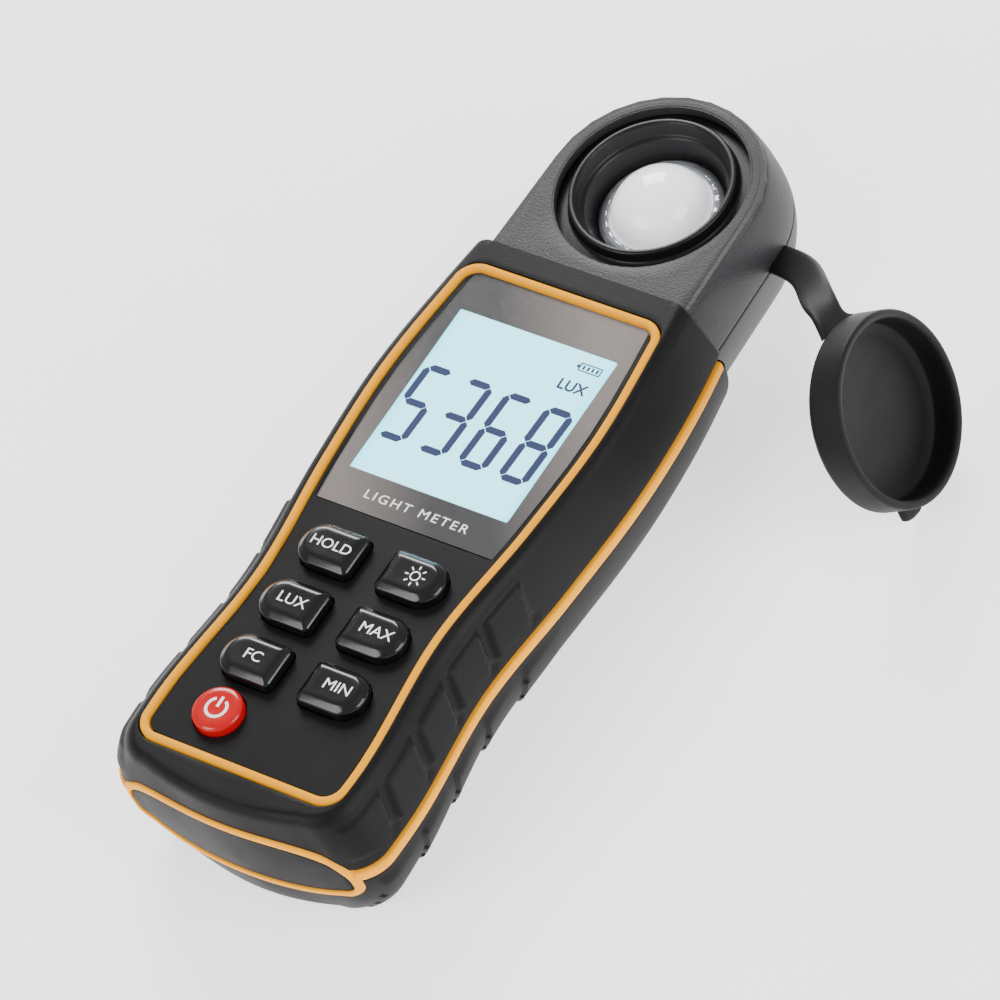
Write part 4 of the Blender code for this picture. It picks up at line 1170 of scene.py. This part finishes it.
@dataclass(frozen=True)
class Display:
    """Metallised label, lit face with its digits and signs, and the clear window over them."""

    body: BodyForm
    low: float = -22.2
    high: float = 34.36
    margin: float = 4.0
    half: float = 18.16
    window_low: float = -13.92
    window_high: float = 25.7
    level: float = 30.46
    digit_pitch: float = 9.22
    digit_wide: float = 6.6
    digit_tall: float = 18.2
    stroke: float = 1.5
    first_digit: float = -14.05
    digit_middle: float = 3.3
    corner: float = 2.0
    ink: tuple[float, float] = (-0.13, -0.07)

    def label_outline(self, inset: float) -> np.ndarray:
        """Outline of the label: its sides run beside the frame, its top corners are round.

        Args:
            inset: How far inside the label's edge.

        Returns:
            Points from the middle of the lower edge.
        """
        y = np.linspace(self.low + inset, self.high - inset - self.corner, 60)
        half = self.body.curve(self.body.shoulder, y) - self.margin - inset
        corner = self.corner * turned(6, 90, 9) + (half[-1] - self.corner, y[-1])
        base = pairs(np.linspace(0, half[0], 16)[:-1], self.low + inset)
        top = pairs(np.linspace(corner[-1, 0], 0, 16)[1:], self.high - inset)
        return mirrored(np.concatenate([base, pairs(half, y), corner, top]))

    def label(self, finish: bpy.types.Material) -> bpy.types.Object:
        """Build the label: a ring between its outline and the display's window.

        Args:
            finish: Its material.

        Returns:
            The new object.
        """
        outer = self.label_outline(0.0)
        middle = (self.window_low + self.window_high) / 2
        hole = towards(outer, (0.0, middle), (self.half, (self.window_high - self.window_low) / 2))
        rows = [lifted(outer, 28.4), lifted(outer, self.level), lifted((outer + hole) / 2, self.level),
                lifted(hole, self.level), lifted(hole, 28.4)]
        return surface("display_label", np.array(rows), finish, loop=True, caps=False)

    def face(self, finish: bpy.types.Material) -> bpy.types.Object:
        """Build the lit face, a hair smaller than the window and a hair below the label.

        Args:
            finish: Its material.

        Returns:
            The new object.
        """
        x, y = self.half - 0.08, (self.window_high - self.window_low) / 2 - 0.08
        middle = (self.window_low + self.window_high) / 2
        square = np.array([(-x, middle - y), (x, middle - y), (x, middle + y), (-x, middle + y)])
        return prisms("display_face", [square], 24.7, self.level - 0.12, finish)

    def window(self, finish: bpy.types.Material) -> bpy.types.Object:
        """Build the clear window with a fine bevel round its upper edge.

        Args:
            finish: Its material.

        Returns:
            The new object.
        """
        rows = [lifted(self.label_outline(inset), z)
                for inset, z in ((0.0, self.level + 0.1), (0.0, 30.58), (0.05, 30.66), (0.14, 30.7))]
        return surface("display_window", np.array(rows), finish)

    def segment(self, length: float, upright: bool) -> np.ndarray:
        """Outline of one display segment: a bar with mitred ends.

        Args:
            length: Length of the bar.
            upright: Whether it stands.

        Returns:
            The bar's corners.
        """
        reach, half = length / 2, self.stroke / 2
        bar = np.array([(-reach, 0), (-reach + half, -half), (reach - half, -half), (reach, 0),
                        (reach - half, half), (-reach + half, half)])
        return bar[:, ::-1] if upright else bar

    def digits(self, text: str, finish: bpy.types.Material) -> bpy.types.Object:
        """Build the seven-segment figures, leaning a little to the right.

        Args:
            text: Figures to show.
            finish: Its material.

        Returns:
            The new object.
        """
        lit = {"5": "afgcd", "3": "abgcd", "6": "afgecd", "8": "abcdefg"}
        wide, tall = self.digit_wide - self.stroke, self.digit_tall - self.stroke
        flat, post = wide - 0.25, tall / 2 - 0.25
        places = {"a": (0, tall / 2, flat, False), "g": (0, 0, flat, False), "d": (0, -tall / 2, flat, False),
                  "f": (-wide / 2, tall / 4, post, True), "b": (wide / 2, tall / 4, post, True),
                  "e": (-wide / 2, -tall / 4, post, True), "c": (wide / 2, -tall / 4, post, True)}
        shapes = []
        for number, figure in enumerate(text):
            for key in lit[figure]:
                x, y, length, upright = places[key]
                shape = self.segment(length, upright) + (x, y)
                shape[:, 0] += shape[:, 1] * 0.03 + self.first_digit + number * self.digit_pitch
                shapes.append(shape + (0, self.digit_middle))
        return self.inked("display_digits", shapes, finish)

    def inked(self, name: str, shapes: list[np.ndarray], finish: bpy.types.Material) -> bpy.types.Object:
        """Lay signs on the lit face, a hair proud of it."""
        return prisms(name, shapes, self.level + self.ink[0], self.level + self.ink[1], finish)

    def battery_sign(self, finish: bpy.types.Material) -> bpy.types.Object:
        """Build the battery sign: an outline with a tip and four bars.

        Args:
            finish: Its material.

        Returns:
            The new object.
        """
        def box(x0: float, x1: float, y0: float, y1: float) -> np.ndarray:
            """Corners of a bar."""
            return np.array([(x0, y0), (x1, y0), (x1, y1), (x0, y1)])

        left, right, low, high, line = 11.4, 16.3, 21.4, 23.3, 0.24
        shapes = [box(left, right, low, low + line), box(left, right, high - line, high),
                  box(left, left + line, low + line, high - line),
                  box(right - line, right, low + line, high - line), box(left - 0.5, left, 22.0, 22.7)]
        shapes += [box(12.2 + i, 12.65 + i, low + 0.5, high - 0.5) for i in range(4)]
        return self.inked("battery_sign", shapes, finish)

    def build(self, made: dict[str, bpy.types.Material]) -> None:
        """Build the display and put it in place of the plain pieces.

        Args:
            made: Materials by slot.
        """
        settle(self.label(made["label"]), METER, "label", "display_bezel")
        settle(self.face(made["display"]), METER, "display", "lcd_glass")
        settle(self.window(made["clear"]), METER, "clear", "display_lens")
        settle(self.digits("5368", made["digit"]), METER, "display")
        settle(self.battery_sign(made["digit"]), METER, "display")
        unit = lettering("unit_sign", "LUX", 3.3, (12.7, 17.5, self.level - 0.12), made["digit"], 0.08)
        settle(unit, METER, "display")
        title = lettering("label_title", "LIGHT METER", 2.75, (0.2, -18.3, self.level + 0.01),
                          made["legend"], 0.0, 1.18, 1.25)
        settle(title, METER, "label")


@dataclass(frozen=True)
class Keys:
    """Six oblong keys with moulded edges and printed legends, and the round power key."""

    wide: float = 13.2
    tall: float = 9.6
    inner_corner: float = 1.4
    power_radius: float = 5.0
    legend_shift: float = 0.6
    dish: float = 0.03
    ring_grow: float = 1.34

    def outline(self, side: int, inset: float) -> np.ndarray:
        """Outline of an oblong key: a rectangle whose outer corners are nearly half-round.

        Args:
            side: 1 for right, -1 for left.
            inset: How far inside the key's edge.

        Returns:
            Points round the key.
        """
        half = np.array([self.wide / 2 - inset, self.tall / 2 - inset])
        near = max(self.inner_corner - inset, 0.45)
        far = max(self.tall / 2 - 0.2 - inset, 0.45)
        right, left = (far, near) if side > 0 else (near, far)
        arcs = []
        for across, rise, first, radius in ((1, -1, -90, right), (1, 1, 0, right), (-1, 1, 90, left),
                                            (-1, -1, 180, left)):
            middle = (half - radius) * (across, rise)
            arcs.append(middle + radius * turned(first, first + 90, 14))
        return np.concatenate(arcs)

    def oblong(self, name: str, side: int, centre: np.ndarray, base: float, top: float,
               finish: bpy.types.Material) -> bpy.types.Object:
        """Build an oblong key: outlines drawn in towards a slightly dished top.

        Args:
            name: Name of the piece.
            side: 1 for right, -1 for left.
            centre: Middle of the key.
            base: Height of the underside.
            top: Height of the top.
            finish: Its material.

        Returns:
            The new object.
        """
        levels = ((0.0, base), (0.0, top - 1.55), (0.05, top - 1.25), (0.2, top - 0.98), (0.42, top - 0.8),
                  (1.0, top - 0.42), (1.35, top - 0.16), (1.6, top - 0.04), (1.95, top))
        rows = [lifted(self.outline(side, inset) + centre, z) for inset, z in levels]
        last = self.outline(side, levels[-1][0])
        rows += [lifted(last * share + centre, top - self.dish * (1 - share**2))
                 for share in (0.8, 0.55, 0.3, 0.04)]
        return surface(name + "_cap", np.array(rows), finish, sharp=60)

    def power(self, centre: np.ndarray, base: float, top: float,
              finish: bpy.types.Material) -> bpy.types.Object:
        """Build the round key: a turned button with a shallow dish.

        Args:
            centre: Its middle.
            base: Height of the underside.
            top: Height of the top.
            finish: Its material.

        Returns:
            The new object.
        """
        radius = self.power_radius
        profile = ((radius, base), (radius, top - 0.95), (4.94, top - 0.6), (4.7, top - 0.3),
                   (4.3, top - 0.1), (3.9, top - 0.02), (3.4, top), (2.4, top - 0.06), (1.2, top - 0.11),
                   (0.1, top - 0.13))
        return surface("power_key_cap", revolved(np.array(profile), tuple(centre), 64), finish, sharp=60)

    def arcs(self, angles: np.ndarray, half: float, radius: float, centre: np.ndarray) -> list[np.ndarray]:
        """Tiles of a ring: each is the stretch between two radii, half an angle to either side.

        Args:
            angles: Middle of each tile, in radians.
            half: Half the angle of a tile.
            radius: Inner radius of the ring.
            centre: Its middle.

        Returns:
            Outlines of the tiles.
        """
        tiles = []
        for angle in angles:
            pair = np.array([angle - half, angle + half])
            inner = pairs(np.cos(pair), np.sin(pair)) * radius
            tiles.append(np.concatenate([inner, inner[::-1] * self.ring_grow]) + centre)
        return tiles

    def sun(self, centre: np.ndarray) -> list[np.ndarray]:
        """Tiles of a sun sign: a ring of short arcs, and eight rays.

        Args:
            centre: Its middle.

        Returns:
            Outlines of the tiles.
        """
        shapes = self.arcs(np.linspace(0, 2 * np.pi, 16, endpoint=False), 0.2, 0.82, centre)
        for angle in np.linspace(0, 2 * np.pi, 8, endpoint=False):
            away = np.array([math.cos(angle), math.sin(angle)])
            across = np.array([-away[1], away[0]]) * 0.15
            shapes.append(np.array([away * 1.5 - across, away * 2.25 - across, away * 2.25 + across,
                                    away * 1.5 + across]) + centre)
        return shapes

    def standby(self, centre: np.ndarray) -> list[np.ndarray]:
        """Tiles of the power sign: an open ring of short arcs, and a bar in its gap."""
        bar = np.array([(-0.3, 0.2), (0.3, 0.2), (0.3, 2.5), (-0.3, 2.5)]) + centre
        return [*self.arcs(np.radians(np.linspace(128, 412, 24)), 0.105, 1.75, centre), bar]

    def build(self, made: dict[str, bpy.types.Material]) -> None:
        """Build each key on its own body, with its legend riding on it.

        Args:
            made: Materials by slot.
        """
        legends = {"hold_key": "HOLD", "lux_key": "LUX", "fc_key": "FC", "light_key": "", "max_key": "MAX",
                   "min_key": "MIN"}
        for node, words in legends.items():
            low, high = node_box(node)
            centre = (low[:2] + high[:2]) / 2
            side = 1 if centre[0] > 0 else -1
            key = self.oblong(node, side, centre, low[2], high[2], made["key"])
            settle(key, node, "key", node)
            spot = centre + (self.legend_shift * (1 if side < 0 else 1.2), 0)
            if words:
                size = 3.2 if len(words) < 4 else 3.05
                sign = lettering(node + "_legend", words, size, (*spot, high[2] - self.dish), made["legend"],
                                 0.0, 1.08)
            else:
                sign = prisms(node + "_legend", self.sun(spot), high[2] - 0.08, high[2] + 0.02,
                              made["legend"])
            settle(sign, node, "key")
        low, high = node_box("power_key")
        centre = (low[:2] + high[:2]) / 2
        settle(self.power(centre, low[2], high[2], made["power"]), "power_key", "power", "power_key")
        sign = prisms("power_key_legend", self.standby(centre), high[2] - 0.13, high[2] - 0.02,
                      made["legend"])
        settle(sign, "power_key", "power")


# ---------------------------------------------------------------- head, sensor and cap

@dataclass(frozen=True)
class Head:
    """The hard head that stands out of the boot, front and rear, as a skin over the case."""

    body: BodyForm
    sensor: float = 65.6
    top: float = 28.1
    bottom: float = 2.1
    seam: float = 16.6
    root: float = 26.0
    wide: float = 25.4
    slope: float = 3.2
    well: float = 19.36
    skin: float = 0.07
    top_round: float = 1.3
    back_round: float = 1.6

    def half_width(self, y: np.ndarray, z: float) -> np.ndarray:
        """Half-width of the head: it narrows to the sensor and slopes in away from the seam.

        Args:
            y: Places along the body.
            z: Height above the back.

        Returns:
            Half-widths.
        """
        share = np.clip((y - self.body.boot) / (self.sensor - self.body.boot), 0, 1)
        free = self.root + (self.wide - self.root) * share
        free = free - self.slope * (abs(z - self.seam) / (self.top - self.seam))**1.8
        inside = float(self.body.half_width(np.array(self.body.boot), np.array(z))) - 2.1
        return np.minimum(free, inside)

    def outline(self, z: float, inset: float) -> np.ndarray:
        """Closed outline of the head: two tapering sides, a round end and a line inside the boot.

        Args:
            z: Height above the back.
            inset: How far the outline lies inside the surface.

        Returns:
            Points from the middle of the boot end.
        """
        start = self.body.boot - 2.0
        y = np.linspace(start, self.sensor, 40)
        side = pairs(self.half_width(y, z) - inset, y)
        wide = side[-1, 0]
        reach = self.body.length / 2 - self.sensor - (self.wide - (wide + inset)) * 0.55 - inset
        arc = turned(0, 90, 48)[1:] * (wide, reach) + (0.0, self.sensor)
        base = pairs(np.linspace(0, side[0, 0], 14)[:-1], start)
        return mirrored(np.concatenate([base, side, arc]))

    def front(self, finish: bpy.types.Material) -> bpy.types.Object:
        """Build the front skin: wall, round edge, flat top, and the wall of the sensor's well.

        Args:
            finish: Its material.

        Returns:
            The new object.
        """
        radius = self.top_round
        levels = [(16.75, 0.25), (16.85, 0.06), (17.05, 0.0)]
        levels += [(z, 0.0) for z in np.linspace(17.6, self.top - radius, 12)]
        levels += [(self.top - radius + radius * math.sin(turn), radius * (1 - math.cos(turn)) * 0.9)
                   for turn in np.radians(np.linspace(15, 90, 6))]
        rows = [lifted(self.outline(z, inset - self.skin), z) for z, inset in levels]
        edge = rows[-1][:, :2]
        ray = edge - (0.0, self.sensor)
        circle = ray / np.linalg.norm(ray, axis=1, keepdims=True)
        level = self.top + self.skin
        rows[-1] = lifted(edge, level)
        for share in (0.25, 0.5, 0.75):
            goal = circle * (self.well + 0.35) + (0.0, self.sensor)
            rows.append(lifted(edge + (goal - edge) * share, level))
        for out, z in ((0.42, level), (0.2, level - 0.05), (0.02, level - 0.2), (-self.skin, level - 0.45),
                       (-self.skin, 26.1)):
            rows.append(lifted(circle * (self.well + out) + (0.0, self.sensor), z))
        rows += [lifted(self.outline(26.1, 2.0), 26.1), lifted(self.outline(16.75, 2.0), 16.75)]
        return surface("head_front", np.array(rows), finish, loop=True, caps=False)

    def rear(self, finish: bpy.types.Material) -> bpy.types.Object:
        """Build the rear skin: wall, round edge and flat back, closed at its middle.

        Args:
            finish: Its material.

        Returns:
            The new object.
        """
        radius = self.back_round
        levels = [(16.45, 2.0), (16.45, 0.25), (16.35, 0.06), (16.15, 0.0)]
        levels += [(z, 0.0) for z in np.linspace(15.6, self.bottom + radius, 12)]
        levels += [(self.bottom + radius - radius * math.sin(turn), radius * (1 - math.cos(turn)) * 0.7)
                   for turn in np.radians(np.linspace(15, 90, 6))]
        rows = [lifted(self.outline(z, inset - self.skin), z) for z, inset in levels]
        last = rows[-1][:, :2]
        middle = np.array([0.0, self.sensor - 4])
        rows[-1] = lifted(last, self.bottom - self.skin)
        rows += [lifted(middle + (last - middle) * share, self.bottom - self.skin)
                 for share in (0.7, 0.4, 0.03)]
        return surface("head_rear", np.array(rows), finish)

    def build(self, made: dict[str, bpy.types.Material]) -> None:
        """Build both skins over the case halves."""
        settle(self.front(made["shell"]), METER, "shell")
        settle(self.rear(made["shell"]), METER, "shell")


@dataclass(frozen=True)
class Sensor:
    """Collar and funnel round the sensor, the opal dome, and the clear ring at its foot."""

    y: float = 65.6
    collar_radius: float = 16.5
    dome_radius: float = 10.0
    dome_height: float = 9.0
    base: float = 19.8

    def collar(self, finish: bpy.types.Material) -> bpy.types.Object:
        """Build the collar: a turned section with a rolled rim, a step and a funnel.

        Args:
            finish: Its material.

        Returns:
            The new object.
        """
        rim = self.collar_radius
        profile = [(20.1, 23.5), (20.1, 25.8), (rim + 0.5, 25.8), (rim, 26.2), (rim, 28.25),
                   (rim - 0.35, 28.5), (rim - 0.95, 28.5), (rim - 1.3, 28.2), (rim - 1.5, 25.2),
                   (rim - 2.3, 24.8), (12.95, 21.0), (12.7, 20.6), (12.7, 18.4), (7.8, 18.4), (7.8, 17.1),
                   (13.5, 17.1), (15.5, 23.5), (20.1, 23.5)]
        section = eased(profile, 0.28)[:-1]
        grid = revolved(section, (0.0, self.y), 128)
        return surface("collar", grid, finish, loop=True, caps=False, sharp=50)

    def dome(self, finish: bpy.types.Material) -> bpy.types.Object:
        """Build the dome: radius by the sine and height by the cosine of the angle from its pole.

        Args:
            finish: Its material.

        Returns:
            The new object.
        """
        angle = np.radians(np.linspace(1.0, 90, 40))
        shell = pairs(self.dome_radius * np.sin(angle), self.base + self.dome_height * np.cos(angle))
        flange = self.dome_radius + 1.3
        foot = np.array([(self.dome_radius + 0.1, self.base - 0.2), (flange, self.base - 0.25),
                         (flange, self.base - 0.9), (0.2, self.base - 0.9)])
        profile = np.concatenate([shell, foot])
        return surface("opal_dome", revolved(profile, (0.0, self.y), 96), finish)

    def ring(self, finish: bpy.types.Material) -> bpy.types.Object:
        """Build the clear ring: a turned section with a sloping, ribbed upper face.

        Args:
            finish: Its material.

        Returns:
            The new object.
        """
        profile = eased([(10.3, 20.1), (10.3, 21.3), (10.8, 21.5), (11.6, 21.35), (12.35, 20.75),
                         (12.4, 20.1), (10.3, 20.1)], 0.15)[:-1]
        grid = revolved(profile, (0.0, self.y), 144)
        facet = 0.07 * np.cos(np.arange(144) * 2 * np.pi / 6)
        lift = np.clip(profile[:, 1] - 20.4, 0, 1)[:, None]
        grid[:, :, 2] += facet * lift
        return surface("dome_foot_ring", grid, finish, loop=True, caps=False)

    def build(self, made: dict[str, bpy.types.Material]) -> None:
        """Build the sensor's visible pieces.

        Args:
            made: Materials by slot.
        """
        settle(self.collar(made["collar"]), METER, "collar", "sensor_collar")
        settle(self.dome(made["dome"]), METER, "dome", "diffuser_dome")
        settle(self.ring(made["ring"]), METER, "ring", "dome_ring")


@dataclass(frozen=True)
class Cap:
    """The rubber cap with its strap, which folds where it leaves the case and at the cap."""

    centre: tuple[float, float, float] = (69.9, 40.6, 22.4)
    heading: float = math.radians(12.6)
    lean: float = math.radians(21.2)
    turn: float = math.radians(-26.0)
    radius: float = 18.7
    bore: float = 16.9
    depth: float = 6.0
    floor: float = 1.8
    strap_wide: float = 6.6
    strap_thick: float = 1.8
    root: tuple[float, float, float] = (24.2, 66.0, 16.6)
    split: float = 0.375

    def axes(self) -> tuple[np.ndarray, np.ndarray, np.ndarray]:
        """Directions of the cap: towards the strap, across, and out of its opening.

        Returns:
            Three unit vectors.
        """
        normal = Vector((math.cos(self.heading) * math.cos(self.lean),
                         math.sin(self.heading) * math.cos(self.lean), math.sin(self.lean)))
        uphill = (Vector((0, 0, 1)) - normal * normal.z).normalized()
        strap = Matrix.Rotation(self.turn, 3, normal) @ uphill
        return np.array(strap), np.array(normal.cross(strap)), np.array(normal)

    def placed(self, grid: np.ndarray) -> np.ndarray:
        """Carry points from the cap's own axes to its place beside the head."""
        strap, across, normal = self.axes()
        return np.array(self.centre) + grid @ np.array([strap, across, normal])

    def cup(self, finish: bpy.types.Material) -> bpy.types.Object:
        """Build the cup: a turned section with a rolled rim, a flat floor and an eased back edge.

        Args:
            finish: Its material.

        Returns:
            The new object.
        """
        back = -self.depth - self.floor
        profile = [(0.3, -self.depth), (self.bore - 2.0, -self.depth), (self.bore - 0.15, -self.depth + 0.5),
                   (self.bore, -self.depth + 2.2), (self.bore, -0.7), (self.bore + 0.25, -0.1),
                   (self.bore + 0.8, 0.1), (self.radius - 0.35, 0.0), (self.radius, -0.5),
                   (self.radius, back + 1.4), (self.radius - 1.3, back), (0.3, back)]
        grid = revolved(eased(profile, 0.5, 5), (0.0, 0.0), 128)
        return surface("cap_cup", self.placed(grid), finish, sharp=50)

    def tab(self, finish: bpy.types.Material) -> bpy.types.Object:
        """Build the pull tab: a tongue that thins and narrows towards a rounded tip.

        Args:
            finish: Its material.

        Returns:
            The new object.
        """
        t = np.linspace(0, 1, 14)
        reach = -(self.radius - 0.8 + 4.0 * t)
        half = 3.3 - 0.5 * t**3
        thick = 0.9 * (1 - 0.25 * t)
        fade = np.sqrt(np.clip(1 - ((t - 0.75) / 0.26).clip(0)**2, 0.02, 1))
        across, rise = squarish(28, 0.35, 0.6)
        y = half[:, None] * across * fade[:, None]
        z = -self.depth - self.floor / 2 + (thick * fade)[:, None] * rise
        grid = np.stack([np.broadcast_to(reach[:, None], y.shape), y, z], axis=-1)
        return surface("cap_tab", self.placed(grid), finish)

    def path(self, share: np.ndarray) -> tuple[np.ndarray, np.ndarray]:
        """Places along the strap, a cubic Bezier from the seam to the cap, and its width directions.

        Args:
            share: Shares of the way along the strap.

        Returns:
            Points, and the direction of the strap's width at each.
        """
        strap, across, normal = self.axes()
        start = np.array(self.root)
        end = np.array(self.centre) + strap * (self.radius - 1.0) - normal * (self.depth + self.floor / 2)
        second = start + (12.0, 0.0, 0.6)
        third = end + strap * 9.0 - normal * 5.0 + (0.0, 0.0, 1.0)
        t = share[:, None]
        points = start * (1 - t)**3 + 3 * second * t * (1 - t)**2 + 3 * third * t**2 * (1 - t) + end * t**3
        return points, np.array((0.0, 1.0, 0.0)) * (1 - t) - across * t

    def strap(self, name: str, first: float, last: float, finish: bpy.types.Material) -> bpy.types.Object:
        """Build a stretch of the strap: a flat rounded section that flares where it meets the cap.

        Args:
            name: Name of the piece.
            first: Share of the strap at which it starts.
            last: Share at which it ends.
            finish: Its material.

        Returns:
            The new object.
        """
        share = np.linspace(first, last, 60)
        points, wides = self.path(share)
        tangent = np.gradient(points, axis=0)
        tangent /= np.linalg.norm(tangent, axis=1, keepdims=True)
        wides = wides - tangent * np.sum(wides * tangent, axis=1, keepdims=True)
        wides /= np.linalg.norm(wides, axis=1, keepdims=True)
        up = np.cross(wides, tangent)
        across, rise = squarish(40, 0.4, 0.7)
        half = self.strap_wide / 2 + 2.2 * np.clip((share - 0.86) / 0.14, 0, 1)**2
        grid = (points[:, None] + wides[:, None] * (half[:, None] * across)[:, :, None]
                + up[:, None] * (self.strap_thick / 2 * rise)[None, :, None])
        return surface(name, grid, finish, sharp=60)

    def build(self, made: dict[str, bpy.types.Material]) -> None:
        """Build the cap and its tab, and the strap in two curved stretches.

        Args:
            made: Materials by slot.
        """
        settle(self.cup(made["cap"]), "cap", "cap", "sensor_cap")
        settle(self.tab(made["cap"]), "cap", "cap")
        near = self.strap("strap_near", 0.0, self.split, made["cap"])
        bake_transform(near)
        far = self.strap("strap_far", self.split, 1.0, made["cap"])
        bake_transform(far)
        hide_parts("strap_root")
        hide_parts("strap_link")


# ---------------------------------------------------------------- the back

@dataclass(frozen=True)
class BackScrews:
    """Cross-head screws in the back, four for the case and one for the door."""

    head: float = 2.4
    shank: float = 1.2

    def screw(self, name: str, centre: tuple[float, float], face: float, seat: float, tip: float,
              finish: bpy.types.Material) -> bpy.types.Object:
        """Build a screw: a turned head and shank, with a cross pressed into its face.

        The face is lifted inside the cross, wherever one flat coordinate is within the slot's
        half-width and the other is within its reach.

        Args:
            name: Name of the piece.
            centre: Place of its axis.
            face: Height of the head's face.
            seat: Height at which the head sits.
            tip: Height of the point.
            finish: Its material.

        Returns:
            The new object.
        """
        radii = np.linspace(0.03, self.head - 0.3, 22)
        crown = [(radius, face + 0.25 * (radius / self.head)**2) for radius in radii]
        body = [(self.head - 0.05, face + 0.35), (self.head, face + 0.6), (self.head, seat),
                (self.shank, seat), (self.shank - 0.1, tip - 1.0), (0.1, tip)]
        grid = revolved(np.array(crown + body), centre, 96)
        x, y = grid[:, :, 0] - centre[0], grid[:, :, 1] - centre[1]
        slot = np.maximum(soft_box(x, 0.28, 0.12) * soft_box(y, 1.45, 0.15),
                          soft_box(y, 0.28, 0.12) * soft_box(x, 1.45, 0.15))
        slot[len(crown):] = 0.0
        grid[:, :, 2] += 0.55 * slot
        return surface(name, grid, finish, sharp=50)

    def build(self, made: dict[str, bpy.types.Material]) -> None:
        """Build each screw in its packed place.

        Args:
            made: Materials by slot.
        """
        for number in range(1, 5):
            self.fit(f"case_screw_{number}", METER, made["steel"])
        self.fit("door_screw", "door", made["steel"])

    def fit(self, node: str, body: str, finish: bpy.types.Material) -> None:
        """Build the screw that stands for a node, from the node's box.

        Args:
            node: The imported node.
            body: The body that it moves with.
            finish: Its material.
        """
        low, high = node_box(node)
        centre = (float(low[0] + high[0]) / 2, float(low[1] + high[1]) / 2)
        screw = self.screw(node + "_crosshead", centre, low[2], low[2] + 1.1, high[2], finish)
        settle(screw, body, "steel", node)


# ---------------------------------------------------------------- putting together

def settle(piece: bpy.types.Object, body: str, slot: str, *nodes: str) -> None:
    """Let a piece ride on a body and hide the nodes that it stands for.

    Args:
        piece: The piece.
        body: The body that it moves with.
        slot: The record's material slot; not used.
        nodes: The nodes that it replaces.
    """
    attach(piece, body)
    if nodes:
        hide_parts(*nodes)


def dress_frame(frame: dict, made: dict[str, bpy.types.Material]) -> None:
    """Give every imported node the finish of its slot.

    Args:
        made: Materials by slot.
    """
    slots = {entry["node"]: entry["material_slot"] for entry in frame["record"]["subparts"]}
    for node, packed in frame["nodes"].items():
        packed.data.materials.clear()
        packed.data.materials.append(made[slots[node]])


@dataclass(frozen=True)
class Studio:
    """A pale floor, a soft sky and three softboxes, and the camera."""

    distance: float = 1425.0
    lens: float = 274.4
    aim: tuple[float, float, float] = (0.4, 0.0, 20.0)
    shift: tuple[float, float] = (-3.03, 5.29)
    back: tuple[float, float, float] = (0.5062, -0.4026, 0.7627)
    right: tuple[float, float, float] = (0.8110, 0.5232, -0.2620)
    up: tuple[float, float, float] = (-0.2936, 0.7511, 0.5914)

    def floor(self) -> None:
        """Lay a wide floor with a faint mottle, just under the back."""
        edge = np.linspace(-3000, 3000, 3)
        x, y = np.meshgrid(edge, edge)
        mesh = bpy.data.meshes.new("floor")
        points = np.stack([x, y, np.full_like(x, -0.05)], axis=-1).reshape(-1, 3) * MM
        cells = np.arange(9).reshape(3, 3)
        faces = np.stack([cells[:-1, :-1], cells[:-1, 1:], cells[1:, 1:], cells[1:, :-1]], axis=-1)
        mesh.from_pydata(points.tolist(), [], faces.reshape(-1, 4).tolist())
        paper = Finish("paper_floor", (0.92, 0.92, 0.93), (0.95, 0.95, 0.95), (0.7, 0.8), 300.0, 0.0,
                       glow=1.5, specular=0.1)
        add_piece("floor", mesh, paper.make())

    def lights(self) -> None:
        """Hang the softboxes and light the sky evenly."""
        for name, place, size, power in (("key_softbox", (-0.75, 0.95, 0.75), 0.7, 22.0),
                                         ("side_softbox", (1.05, 0.15, 0.65), 0.7, 10.0),
                                         ("end_softbox", (-0.35, -0.95, 0.8), 0.7, 9.0)):
            lamp = bpy.data.lights.new(name, "AREA")
            lamp.size = size
            lamp.energy = power
            item = bpy.data.objects.new(name, lamp)
            bpy.context.scene.collection.objects.link(item)
            item.location = place
            item.rotation_euler = Vector(place).to_track_quat("Z", "Y").to_euler()
        world = bpy.data.worlds.new("studio")
        bpy.context.scene.world = world
        world.use_nodes = True
        sky = world.node_tree.nodes["Background"]
        sky.inputs["Color"].default_value = (1.0, 1.0, 1.0, 1.0)
        sky.inputs["Strength"].default_value = 0.5

    def camera(self) -> None:
        """Stand the camera off along its back axis, turned by its three axes."""
        back, right, up = (Vector(axis) for axis in (self.back, self.right, self.up))
        place = Vector(self.aim) + back * self.distance - right * self.shift[0] - up * self.shift[1]
        data = bpy.data.cameras.new("camera")
        data.lens = self.lens
        data.clip_end = 20.0
        camera = bpy.data.objects.new("camera", data)
        bpy.context.scene.collection.objects.link(camera)
        turn = Matrix((right, up, back)).transposed().to_4x4()
        camera.matrix_world = Matrix.Translation(place * MM) @ turn
        bpy.context.scene.camera = camera

    def build(self) -> None:
        """Set up the floor, the lights and the camera."""
        self.floor()
        self.lights()
        self.camera()


def main() -> None:
    """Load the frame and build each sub-assembly in turn."""
    logging.basicConfig(level=logging.INFO, format="%(name)s %(message)s")
    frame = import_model()
    moulded_grain()
    handling_marks()
    made = {slot: finish.make() for slot, finish in FINISHES.items()}
    dress_frame(frame, made)
    body = BodyForm()
    rim = FrameForm(body)
    for part in (Grips(body, rim), Trim(body, rim), Display(body), Keys(), Head(body), Sensor(), Cap(),
                 BackScrews()):
        LOG.info("building %s", type(part).__name__)
        part.build(made)
    Studio().build()


if __name__ == "__main__":
    main()
